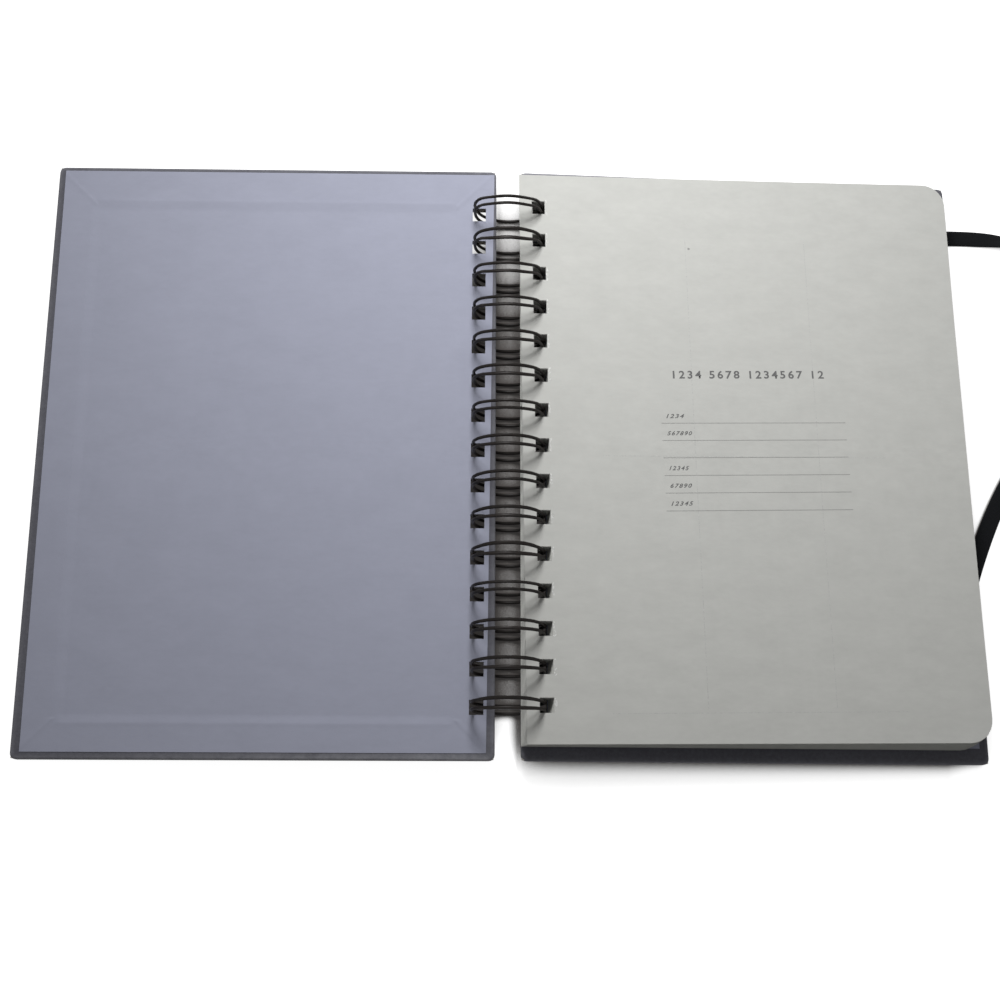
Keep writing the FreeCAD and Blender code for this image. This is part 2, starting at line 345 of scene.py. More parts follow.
class Recipe:
    """A material's node tree in the making, around one Principled shader."""

    def __init__(self, name: str) -> None:
        """Starts a material whose nodes all read Object coordinates unless told otherwise.

        Args:
            name: the material's name.
        """
        self.material = bpy.data.materials.new(name)
        self.material.use_nodes = True
        self.nodes = self.material.node_tree.nodes
        self.links = self.material.node_tree.links
        self.shader = next(node for node in self.nodes if node.type == "BSDF_PRINCIPLED")
        self.place = self.nodes.new("ShaderNodeTexCoord").outputs["Object"]

    def link(self, output: bpy.types.NodeSocket, target: bpy.types.NodeSocket) -> None:
        """Joins an output to an input."""
        self.links.new(output, target)

    def set(self, **values: float | tuple) -> None:
        """Sets constants on the shader, each named as its socket with _ for a space."""
        for name, value in values.items():
            self.shader.inputs[name.replace("_", " ")].default_value = value

    def stretched(self, scale: tuple[float, float, float]) -> bpy.types.NodeSocket:
        """The place, multiplied along each axis.

        Args:
            scale: the factors along X, Y and Z.

        Returns:
            The stretched place, to read a texture at.
        """
        node = self.nodes.new("ShaderNodeMapping")
        node.inputs["Scale"].default_value = scale
        self.link(self.place, node.inputs["Vector"])
        return node.outputs["Vector"]

    def clouds(self, scale: float, detail: float = 3.0, roughness: float = 0.5,
               vector: bpy.types.NodeSocket | None = None) -> bpy.types.NodeSocket:
        """A noise, as a factor around 0.5.

        Args:
            scale: how many of its lumps go into a metre.
            detail: how many finer layers it has.
            roughness: how strong they are.
            vector: where it is read, or None for the plain place.

        Returns:
            The factor.
        """
        node = self.nodes.new("ShaderNodeTexNoise")
        node.inputs["Scale"].default_value = scale
        node.inputs["Detail"].default_value = detail
        node.inputs["Roughness"].default_value = roughness
        self.link(vector or self.place, node.inputs["Vector"])
        return node.outputs["Fac"]

    def bands(self, scale: float, direction: str, distortion: float = 0.0,
              vector: bpy.types.NodeSocket | None = None) -> bpy.types.NodeSocket:
        """Parallel waves, as a factor.

        Args:
            scale: how many of them go into the length WAVE.
            direction: the axis that they cross, X, Y or Z.
            distortion: how far they waver.
            vector: where they are read, or None for the plain place.

        Returns:
            The factor.
        """
        node = self.nodes.new("ShaderNodeTexWave")
        node.bands_direction = direction
        node.inputs["Scale"].default_value = scale
        node.inputs["Distortion"].default_value = distortion
        node.inputs["Detail"].default_value = 1.0
        node.inputs["Detail Scale"].default_value = 2.0
        self.link(vector or self.place, node.inputs["Vector"])
        return node.outputs["Fac"]

    def math(self, operation: str, first: bpy.types.NodeSocket,
             second: bpy.types.NodeSocket | float) -> bpy.types.NodeSocket:
        """One step of arithmetic on factors.

        Args:
            operation: its name in the Math node.
            first: the first factor.
            second: the second factor, or a plain number.

        Returns:
            The result.
        """
        node = self.nodes.new("ShaderNodeMath")
        node.operation = operation
        self.link(first, node.inputs[0])
        if isinstance(second, bpy.types.NodeSocket):
            self.link(second, node.inputs[1])
        else:
            node.inputs[1].default_value = second
        return node.outputs[0]

    def ramp(self, factor: bpy.types.NodeSocket, low: tuple[float, tuple],
             high: tuple[float, tuple]) -> bpy.types.NodeSocket:
        """A colour that runs from one to another.

        Args:
            factor: what drives it.
            low: the factor and the colour where the run starts.
            high: the factor and the colour where it ends.

        Returns:
            The colour.
        """
        node = self.nodes.new("ShaderNodeValToRGB")
        for element, (position, colour) in zip(node.color_ramp.elements, (low, high)):
            element.position = position
            element.color = (*colour, 1.0)
        self.link(factor, node.inputs["Fac"])
        return node.outputs["Color"]

    def weigh(self, first: bpy.types.NodeSocket, share: float, second: bpy.types.NodeSocket,
              other: float) -> bpy.types.NodeSocket:
        """The sum of two factors, each first multiplied by its share."""
        part = self.math("MULTIPLY", first, share)
        return self.math("ADD", part, self.math("MULTIPLY", second, other))

    def varied(self, factor: bpy.types.NodeSocket, colour: tuple[float, float, float], dark: float,
               light: float, run: tuple[float, float] = (0.3, 0.7)) -> bpy.types.NodeSocket:
        """A colour that a factor makes darker and lighter.

        Args:
            factor: what drives it.
            colour: the colour.
            dark: what it is multiplied by where the run starts.
            light: what it is multiplied by where the run ends.
            run: the factor at the run's start and at its end.

        Returns:
            The varied colour.
        """
        start, end = run
        return self.ramp(factor, (start, shade(colour, dark)), (end, shade(colour, light)))

    def mix(self, factor: bpy.types.NodeSocket, first: bpy.types.NodeSocket,
            second: tuple | bpy.types.NodeSocket) -> bpy.types.NodeSocket:
        """A blend of two colours.

        Args:
            factor: how much there is of the second.
            first: the first colour.
            second: the second colour, from a node or plain.

        Returns:
            The colour.
        """
        node = self.nodes.new("ShaderNodeMix")
        node.data_type = "RGBA"
        self.link(factor, node.inputs["Factor"])
        self.link(first, node.inputs["A"])
        if isinstance(second, bpy.types.NodeSocket):
            self.link(second, node.inputs["B"])
        else:
            node.inputs["B"].default_value = (*second, 1.0)
        return node.outputs["Result"]

    def attribute(self, name: str) -> bpy.types.NodeSocket:
        """A value that the piece's own mesh carries.

        Args:
            name: the attribute's name.

        Returns:
            The value.
        """
        node = self.nodes.new("ShaderNodeAttribute")
        node.attribute_name = name
        return node.outputs["Fac"]

    def colour(self, output: bpy.types.NodeSocket) -> None:
        """Sends a colour to the shader."""
        self.link(output, self.shader.inputs["Base Color"])

    def span(self, value: bpy.types.NodeSocket, source: tuple[float, float],
             target: tuple[float, float]) -> bpy.types.NodeSocket:
        """A value carried from one range to another, and held at its ends.

        Args:
            value: the value.
            source: the two ends of the range that it comes from.
            target: what they become.

        Returns:
            The value in its new range.
        """
        node = self.nodes.new("ShaderNodeMapRange")
        for name, limit in zip(("From Min", "From Max", "To Min", "To Max"), (*source, *target)):
            node.inputs[name].default_value = limit
        self.link(value, node.inputs["Value"])
        return node.outputs["Result"]

    def roughness(self, factor: bpy.types.NodeSocket, low: float, high: float) -> None:
        """Sends a varied roughness to the shader, from low to high."""
        self.link(self.span(factor, (0.0, 1.0), (low, high)), self.shader.inputs["Roughness"])

    def relief(self, height: bpy.types.NodeSocket, depth: float, strength: float = 1.0) -> None:
        """Sends a height to the shader as a bump.

        Args:
            height: the height, from 0 to 1.
            depth: how deep 1 is, in metres.
            strength: how far it tells.
        """
        node = self.nodes.new("ShaderNodeBump")
        node.inputs["Distance"].default_value = depth
        node.inputs["Strength"].default_value = strength
        self.link(height, node.inputs["Height"])
        self.link(node.outputs["Normal"], self.shader.inputs["Normal"])


def shade(colour: tuple[float, float, float], factor: float) -> tuple[float, float, float]:
    """A colour made lighter or darker by a factor."""
    return tuple(min(1.0, part * factor) for part in colour)


@dataclass(frozen=True)
class Paper:
    """Uncoated paper: cloudy in tone, with a fine fibrous tooth."""

    name: str
    colour: tuple[float, float, float]
    mottle: float = 0.04
    tooth: float = 0.02 * MM

    def material(self) -> bpy.types.Material:
        """Writes the finish.

        Returns:
            The material.
        """
        recipe = Recipe(self.name)
        streaks = recipe.clouds(75.0, 3.0, 0.55, recipe.stretched((1.0, 2.0, 1.0)))
        felt = recipe.clouds(300.0, 3.0, 0.6, recipe.stretched((1.0, 2.2, 1.0)))
        fibres = recipe.clouds(1500.0, 4.0, 0.65, recipe.stretched((1.0, 1.6, 1.0)))
        cloudy = recipe.weigh(streaks, 0.6, felt, 0.4)
        dark, light = 1 - self.mottle, 1 + self.mottle
        recipe.colour(recipe.varied(cloudy, self.colour, dark, light, (0.32, 0.68)))
        recipe.roughness(fibres, 0.82, 0.96)
        recipe.relief(recipe.math("ADD", felt, recipe.math("MULTIPLY", fibres, 0.6)), self.tooth)
        recipe.set(Specular_IOR_Level=0.15)
        return recipe.material


@dataclass(frozen=True)
class BookCloth:
    """Charcoal covering cloth: fine plain weave, paler at rubbed edges and a painted highlight."""

    name: str
    colour: tuple[float, float, float]
    # The paler colour of rubbed edges, also that of the painted highlight.
    worn: tuple[float, float, float]
    thread: float = 0.42 * MM
    waver: float = 1.2
    depth: float = 0.045 * MM

    def material(self) -> bpy.types.Material:
        """Writes the finish.

        Returns:
            The material.
        """
        recipe = Recipe(self.name)
        count = WAVE / self.thread
        warp, weft = (recipe.bands(count, direction, self.waver) for direction in "XY")
        weave = recipe.math("MAXIMUM", warp, weft)
        slub = recipe.clouds(900.0, 3.0, 0.6)
        tone = recipe.weigh(slub, 0.55, recipe.clouds(45.0, 3.0), 0.45)
        base = recipe.varied(tone, self.colour, 0.72, 1.25)
        # Paled where the mesh says: rubbed edges, and a painted highlight near the spine.
        paling_mask = recipe.math("MULTIPLY", recipe.attribute("wear_and_highlight"), recipe.clouds(260.0, 4.0, 0.7))
        rubbed = recipe.math("MULTIPLY", paling_mask, 0.9)
        recipe.colour(recipe.mix(rubbed, base, self.worn))
        recipe.roughness(slub, 0.68, 0.9)
        recipe.relief(recipe.math("ADD", weave, recipe.math("MULTIPLY", slub, 0.8)), self.depth)
        recipe.set(Specular_IOR_Level=0.2, Sheen_Weight=0.06, Sheen_Roughness=0.5)
        return recipe.material


@dataclass(frozen=True)
class Greyboard:
    """Recycled board: grey, speckled, with the layers of its ply showing at the edges."""

    name: str
    colour: tuple[float, float, float]
    grain: float = 0.05 * MM

    def material(self) -> bpy.types.Material:
        """Writes the finish.

        Returns:
            The material.
        """
        recipe = Recipe(self.name)
        specks = recipe.clouds(1400.0, 4.0, 0.75)
        plies = recipe.bands(900.0, "Z", 3.0)
        tone = recipe.weigh(specks, 0.75, plies, 0.25)
        recipe.colour(recipe.varied(tone, self.colour, 0.7, 1.3))
        recipe.roughness(specks, 0.85, 0.98)
        recipe.relief(tone, self.grain)
        return recipe.material


@dataclass(frozen=True)
class Enamel:
    """Dark bronze enamel on drawn wire, thin where the wire has been bent and rubbed."""

    name: str
    colour: tuple[float, float, float]
    worn: tuple[float, float, float]
    orange_peel: float = 0.01 * MM

    def material(self) -> bpy.types.Material:
        """Writes the finish.

        Returns:
            The material.
        """
        recipe = Recipe(self.name)
        mottle = recipe.clouds(600.0, 3.0, 0.6)
        base = recipe.varied(mottle, self.colour, 0.7, 1.35)
        scuffs = recipe.clouds(1500.0, 5.0, 0.75, recipe.stretched((1.0, 0.35, 1.0)))
        bare = recipe.math("MULTIPLY", recipe.math("SUBTRACT", scuffs, 0.60), 4.0)
        recipe.colour(recipe.mix(bare, base, self.worn))
        recipe.roughness(scuffs, 0.30, 0.5)
        recipe.relief(mottle, self.orange_peel, 0.6)
        recipe.set(Metallic=0.15, Specular_IOR_Level=0.17)
        return recipe.material


@dataclass(frozen=True)
class Elastic:
    """Black woven elastic: ribs along its length, crossed by close fine stitches."""

    name: str
    colour: tuple[float, float, float]
    stitch: float = 0.55 * MM
    rib: float = 0.5 * MM
    depth: float = 0.06 * MM

    def material(self) -> bpy.types.Material:
        """Writes the finish, which reads the ribbon's own lengths in its UV map.

        Returns:
            The material.
        """
        recipe = Recipe(self.name)
        flat = recipe.nodes.new("ShaderNodeUVMap")
        flat.uv_map = "ribbon"
        lengths = flat.outputs["UV"]
        rows = recipe.bands(WAVE / self.stitch, "X", 0.0, lengths)
        knit = recipe.bands(WAVE / self.rib, "Y", 0.0, lengths)
        fuzz = recipe.clouds(2200.0, 3.0, 0.7)
        tone = recipe.weigh(rows, 0.3, fuzz, 0.7)
        recipe.colour(recipe.varied(tone, self.colour, 0.6, 1.8, (0.25, 0.8)))
        recipe.roughness(fuzz, 0.7, 0.92)
        height = recipe.math("ADD", recipe.math("MULTIPLY", rows, 0.6), knit)
        recipe.relief(height, self.depth)
        recipe.set(Sheen_Weight=0.02, Sheen_Roughness=0.4, Specular_IOR_Level=0.12)
        return recipe.material


@dataclass(frozen=True)
class Ink:
    """Grey printing ink, a little uneven where the paper's tooth breaks it."""

    name: str
    colour: tuple[float, float, float]

    def material(self) -> bpy.types.Material:
        """Writes the finish.

        Returns:
            The material.
        """
        recipe = Recipe(self.name)
        tooth = recipe.clouds(2500.0, 3.0, 0.6)
        recipe.colour(recipe.varied(tooth, self.colour, 0.85, 1.2, (0.3, 0.75)))
        recipe.roughness(tooth, 0.8, 0.95)
        return recipe.material


# --- Studio -----------------------------------------------------------------------------------


@dataclass
class Studio:
    """Camera, lamp, world and table."""

    # The focal length, as a share of the frame's width.
    focal: float = 1.4391
    eye: tuple[float, float, float] = (-27.794 * MM, -142.621 * MM, 486.841 * MM)
    tilt: float = math.radians(14.9)
    yaw: float = math.radians(-11.313)
    roll: float = math.radians(11.83)
    lamp_place: tuple[float, float, float] = (-0.027, 0.234, 0.325)
    lamp_target: tuple[float, float, float] = (0.214, 0.0, 0.0)
    lamp_size: float = 0.16
    power: float = 1.51
    ambient: float = 0.17
    glow: float = 0.92
    crevice: float = 22 * MM
    table_half: float = 1.5
    table_level: float = -0.02 * MM
    table_colour: tuple[float, float, float] = (0.62, 0.62, 0.62)
    # Painted shade on the table in a crevice: its glow and its colour there.
    dim: tuple[float, float, float] = (0.030, 0.028, 0.027)
    deep: tuple[float, float, float] = (0.085, 0.078, 0.074)
    # How open the table lies where it starts to brighten, where it glows white and where it has its
    # full colour.
    closed: float = 0.49
    white_from: float = 0.86
    pale_from: float = 0.88
    # Painted light on the table, brightening it along a stretch: an axis, the stretch from dark to
    # lit, and how much brighter.
    painted_light_spills: tuple[tuple[str, tuple[float, float], float], ...] = (
        ("Y", (0.045, 0.095), 0.3), ("X", (-0.010, -0.015), 0.32), ("X", (0.150, 0.158), 0.16),
    )
    # The same painted light in a patch, with a stretch along X and one along Y: under the front
    # cover's first holes, and past the last loop in the gap at the foot.
    painted_light_patches: tuple[tuple[tuple[float, float], tuple[float, float], float], ...] = (
        ((-0.003, -0.009), (0.062, 0.090), 0.6), ((0.0035, 0.0005), (-0.0890, -0.0930), 0.36),
    )

    def camera(self) -> None:
        """Stands the camera above the open planner, looking down."""
        data = bpy.data.cameras.new("camera")
        data.sensor_width = 36.0
        data.lens = data.sensor_width * self.focal
        data.clip_start = 0.01
        data.clip_end = 20.0
        camera = bpy.data.objects.new("camera", data)
        turn = (
            Matrix.Rotation(self.yaw, 4, "Z")
            @ Matrix.Rotation(self.tilt, 4, "X")
            @ Matrix.Rotation(self.roll, 4, "Z")
        )
        camera.matrix_world = Matrix.Translation(self.eye) @ turn
        bpy.context.scene.collection.objects.link(camera)
        bpy.context.scene.camera = camera

    def lamp(self) -> None:
        """Hangs one soft square lamp beyond the head of the book."""
        data = bpy.data.lights.new("head_lamp", "AREA")
        data.shape = "SQUARE"
        data.size = self.lamp_size
        data.energy = self.power
        lamp = bpy.data.objects.new("head_lamp", data)
        aim = (Vector(self.lamp_target) - Vector(self.lamp_place)).to_track_quat("-Z", "Y")
        lamp.matrix_world = Matrix.Translation(self.lamp_place) @ aim.to_matrix().to_4x4()
        lamp.visible_camera = False
        bpy.context.scene.collection.objects.link(lamp)

    def seen(self, tree: bpy.types.NodeTree) -> bpy.types.NodeSocket:
        """Tells the rays that see from those that only light.

        Args:
            tree: the nodes of a material or of the world.

        Returns:
            1 for the rays of the camera, of gloss and of glass, and 0 for the others.
        """
        rays = tree.nodes.new("ShaderNodeLightPath")
        either = rays.outputs["Is Camera Ray"]
        for name in ("Is Glossy Ray", "Is Transmission Ray"):
            node = tree.nodes.new("ShaderNodeMath")
            node.operation = "MAXIMUM"
            tree.links.new(either, node.inputs[0])
            tree.links.new(rays.outputs[name], node.inputs[1])
            either = node.outputs[0]
        return either

    def show(self, tree: bpy.types.NodeTree, plain: bpy.types.NodeSocket,
             shown: bpy.types.NodeSocket, output: bpy.types.NodeSocket) -> None:
        """Sends one shader to the rays that only light, and another to those that see.

        Args:
            tree: the nodes of a material or of the world.
            plain: the shader for the rays that only light.
            shown: the shader for the rays that see.
            output: the socket that takes both.
        """
        mix = tree.nodes.new("ShaderNodeMixShader")
        tree.links.new(self.seen(tree), mix.inputs["Fac"])
        tree.links.new(plain, mix.inputs[1])
        tree.links.new(shown, mix.inputs[2])
        tree.links.new(mix.outputs["Shader"], output)

    def world(self) -> None:
        """Gives an even ambient light, and plain white where the table ends."""
        world = bpy.data.worlds.new("studio")
        world.use_nodes = True
        tree = world.node_tree
        surround = tree.nodes["Background"]
        white = tree.nodes.new("ShaderNodeBackground")
        for background, strength in ((surround, self.ambient), (white, 1.0)):
            background.inputs["Color"].default_value = (1.0, 1.0, 1.0, 1.0)
            background.inputs["Strength"].default_value = strength
        surface = tree.nodes["World Output"].inputs["Surface"]
        self.show(tree, surround.outputs["Background"], white.outputs["Background"], surface)
        bpy.context.scene.world = world

    def openness(self, recipe: Recipe) -> bpy.types.NodeSocket:
        """How open the table lies at a place, and the painted light added to it.

        Args:
            recipe: the table's material.

        Returns:
            Near 0 deep in a crevice, and 1 or more in the open.
        """
        hidden = recipe.nodes.new("ShaderNodeAmbientOcclusion")
        hidden.samples = 16
        hidden.inputs["Distance"].default_value = self.crevice
        along = recipe.nodes.new("ShaderNodeSeparateXYZ")
        recipe.link(recipe.place, along.inputs["Vector"])
        open_and_painted_light = hidden.outputs["AO"]
        # Painted light, brightening the table along given stretches and in given places.
        for axis, stretch, rise in self.painted_light_spills:
            painted_spill = recipe.span(along.outputs[axis], stretch, (0.0, rise))
            open_and_painted_light = recipe.math("ADD", open_and_painted_light, painted_spill)
        for across, along_spine, rise in self.painted_light_patches:
            lit_across = recipe.span(along.outputs["X"], across, (0.0, 1.0))
            lit_along = recipe.span(along.outputs["Y"], along_spine, (0.0, rise))
            painted_spill = recipe.math("MULTIPLY", lit_across, lit_along)
            open_and_painted_light = recipe.math("ADD", open_and_painted_light, painted_spill)
        return open_and_painted_light

    def table(self) -> None:
        """Lays the pale table: white in the open, painted shade in the gap under the loops."""
        bm = plate(-self.table_half, self.table_half, self.table_half, self.table_level)
        table = settle(bm, "table", Matrix.Identity(4), smooth=False)
        recipe = Recipe("table_white")
        recipe.set(Base_Color=(*self.table_colour, 1.0), Roughness=0.9, Specular_IOR_Level=0.1)
        open_and_painted_light = self.openness(recipe)
        # Painted shade: glow and colour run from dark in a crevice to white, and to the table's own
        # colour, in the open.
        white = recipe.ramp(open_and_painted_light, (self.closed, self.dim), (self.white_from, (1.0, 1.0, 1.0)))
        glow = recipe.nodes.new("ShaderNodeEmission")
        glow.inputs["Strength"].default_value = self.glow
        recipe.link(white, glow.inputs["Color"])
        full = (self.pale_from, self.table_colour)
        lit = recipe.nodes.new("ShaderNodeBsdfDiffuse")
        recipe.link(recipe.ramp(open_and_painted_light, (self.closed, self.deep), full), lit.inputs["Color"])
        add = recipe.nodes.new("ShaderNodeAddShader")
        recipe.link(lit.outputs["BSDF"], add.inputs[0])
        recipe.link(glow.outputs["Emission"], add.inputs[1])
        output = next(node for node in recipe.nodes if node.type == "OUTPUT_MATERIAL")
        self.show(
            recipe.material.node_tree, recipe.shader.outputs["BSDF"], add.outputs["Shader"],
            output.inputs["Surface"],
        )
        table.data.materials.append(recipe.material)

    def light(self) -> None:
        """Lights the scene with one soft lamp in an even ambient light."""
        self.world()
        self.lamp()
        bpy.context.scene.view_settings.view_transform = "Standard"


# --- The closing band -------------------------------------------------------------------------


@dataclass
class ClosingBand:
    """The elastic band: it leaves the back cover, lies slack on the table and goes back in."""

    width: float = 6.0 * MM
    thickness: float = 1.0 * MM
    length: float = 0.2331
    slot_x: float = 149.5 * MM
    slot_y: float = 87.0 * MM
    slot_depth: float = 4.0 * MM
    ribs: int = 9
    # The cross-section: how deep its ribs are, how square its edges, and how its points crowd there.
    rib_depth: float = 0.16
    squareness: int = 6
    crowding: float = 0.9
    # A folded end, as a share of the band's thickness and width, and the rounding of its edges.
    tab_share: tuple[float, float] = (0.96, 0.98)
    tab_round: float = 0.3 * MM
    route: tuple[tuple[float, float], ...] = (
        (0.180, 0.0893), (0.201, 0.081), (0.210, 0.060), (0.207, 0.036),
        (0.192, 0.012), (0.178, -0.008), (0.1666, -0.032), (0.1575, -0.058),
    )
    # How far the ribbon has turned on edge, in degrees, at shares of its length.
    turns: tuple[tuple[float, float], ...] = (
        (0.0, 0.0), (0.10, 0.0), (0.24, 62.0), (0.42, 76.0), (0.61, 8.0), (0.76, 0.0), (1.0, 0.0),
    )

    def line(self) -> list[Vector]:
        """The points along the band's smooth centre line.

        Returns:
            The points, from the head's slot to the foot's.
        """
        level = self.thickness / 2
        ends = [(self.slot_x, self.slot_y), (self.slot_x, -self.slot_y)]
        points = [ends[0], *self.route, ends[1]]
        curve = bpy.data.curves.new("band_line", "CURVE")
        curve.dimensions = "3D"
        curve.resolution_u = 24
        spline = curve.splines.new("NURBS")
        spline.points.add(len(points) - 1)
        for point, (x, y) in zip(spline.points, points):
            point.co = (x, y, level, 1.0)
        spline.order_u = 3
        spline.use_endpoint_u = True
        guide = bpy.data.objects.new("band_line", curve)
        mesh = bpy.data.meshes.new_from_object(guide)
        line = [vertex.co.copy() for vertex in mesh.vertices]
        bpy.data.objects.remove(guide)
        bpy.data.curves.remove(curve)
        bpy.data.meshes.remove(mesh)
        return line

    def turn_at(self, share: float) -> float:
        """The ribbon's turn on edge at a share of its length, in radians.

        Args:
            share: the share of the length.

        Returns:
            The angle.
        """
        for (start, low), (end, high) in zip(self.turns, self.turns[1:]):
            if share <= end:
                return math.radians(low + (high - low) * smoothstep((share - start) / (end - start)))
        return math.radians(self.turns[-1][1])

    def section(self, bm: bmesh.types.BMesh) -> list[bmesh.types.BMVert]:
        """Draws the ribbon's ribbed cross-section, its width along X and its thickness along Y.

        Args:
            bm: the mesh.

        Returns:
            Its vertices, in their order round the rim.
        """
        count = 4 * self.ribs
        made = bmesh.ops.create_circle(bm, cap_ends=False, segments=count, radius=1.0)
        rim = sorted(made["verts"], key=lambda vertex: math.atan2(vertex.co.y, vertex.co.x))
        half = self.width / 2
        for vertex in rim:
            x, y = vertex.co.x, vertex.co.y
            even = math.asin(max(-1.0, min(1.0, x))) / (math.pi / 2)
            across = math.copysign(abs(even) ** self.crowding, x)
            rib = 1.0 - self.rib_depth * (0.5 + 0.5 * math.cos(across * math.pi * self.ribs))
            rounded = math.copysign((1.0 - abs(across) ** self.squareness) ** 0.5, y)
            vertex.co = Vector((across * half, rounded * rib * self.thickness / 2, 0.0))
        return rim

    def frame_at(self, line: list[Vector], index: int, share: float) -> Matrix:
        """The place and turn of the cross-section at one point of the line.

        Args:
            line: the points of the centre line.
            index: the number of the point.
            share: the share of the length that lies before it.

        Returns:
            The matrix from the cross-section's own frame to the row frame.
        """
        before = line[max(0, index - 1)]
        after = line[min(len(line) - 1, index + 1)]
        ahead = (after - before).normalized()
        side = ahead.cross(Vector((0, 0, 1))).normalized()
        angle = self.turn_at(share)
        across = side * math.cos(angle) + Vector((0, 0, 1)) * math.sin(angle)
        up = across.cross(ahead).normalized()
        lift = (self.width / 2 - self.thickness / 2) * abs(math.sin(angle))
        middle = line[index] + Vector((0, 0, lift))
        return Matrix.Translation(middle) @ Matrix((across, up, ahead)).transposed().to_4x4()

    def ribbon(self, line: list[Vector]) -> bpy.types.Object:
        """Sweeps the cross-section along the line.

        Args:
            line: the points of the centre line.

        Returns:
            The ribbon.
        """
        bm = bmesh.new()
        rim = self.section(bm)
        edges = list({edge for vertex in rim for edge in vertex.link_edges})
        uv = bm.loops.layers.uv.new("ribbon")
        travelled = [0.0]
        for start, end in zip(line, line[1:]):
            travelled.append(travelled[-1] + (end - start).length)
        whole = travelled[-1]
        bmesh.ops.contextual_create(bm, geom=edges)
        last = self.frame_at(line, 0, 0.0)
        bmesh.ops.transform(bm, matrix=last, verts=rim)
        flat = {vertex: (0.0, (last.inverted() @ vertex.co).x) for vertex in rim}
        for index in range(1, len(line)):
            rim, edges = extrude_rim(bm, edges)
            now = self.frame_at(line, index, travelled[index] / whole)
            bmesh.ops.transform(bm, matrix=now @ last.inverted(), verts=rim)
            last = now
            back = now.inverted()
            flat.update({vertex: (travelled[index], (back @ vertex.co).x) for vertex in rim})
        bmesh.ops.contextual_create(bm, geom=edges)
        for face in bm.faces:
            for loop in face.loops:
                loop[uv].uv = flat[loop.vert]
        bmesh.ops.recalc_face_normals(bm, faces=bm.faces)
        return settle(bm, "closing_band", Matrix.Identity(4))

    def tabs(self) -> bpy.types.Object:
        """The two folded ends, standing in the back cover's slots.

        Returns:
            The piece.
        """
        bm = bmesh.new()
        thin, wide = self.tab_share
        for end in (self.slot_y, -self.slot_y):
            made = bmesh.ops.create_cube(bm, size=1.0)
            size = Matrix.Diagonal((self.thickness * thin, self.width * wide, self.slot_depth, 1))
            middle = Matrix.Translation((self.slot_x, end, self.slot_depth / 2))
            bmesh.ops.transform(bm, matrix=middle @ size, verts=made["verts"])
        upright = [edge for edge in bm.edges if abs(edge.verts[0].co.z - edge.verts[1].co.z) > MM]
        bmesh.ops.bevel(
            bm, geom=upright, affect="EDGES", offset=self.tab_round, offset_type="OFFSET",
            segments=2, profile=0.5, material=-1,
        )
        bm.loops.layers.uv.new("ribbon")
        return settle(bm, "band_ends", Matrix.Identity(4))

    def build(self, finish: Elastic) -> None:
        """Args:
            finish: the woven elastic.
        """
        line = self.line()
        ribbon = self.ribbon(line)
        tabs = self.tabs()
        material = finish.material()
        for piece in (ribbon, tabs):
            piece.data.materials.append(material)
            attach(piece, "back_cover")
        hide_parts("elastic_band")
        LOG.info("closing band: %d points along its line", len(line))


# --- The covers -------------------------------------------------------------------------------


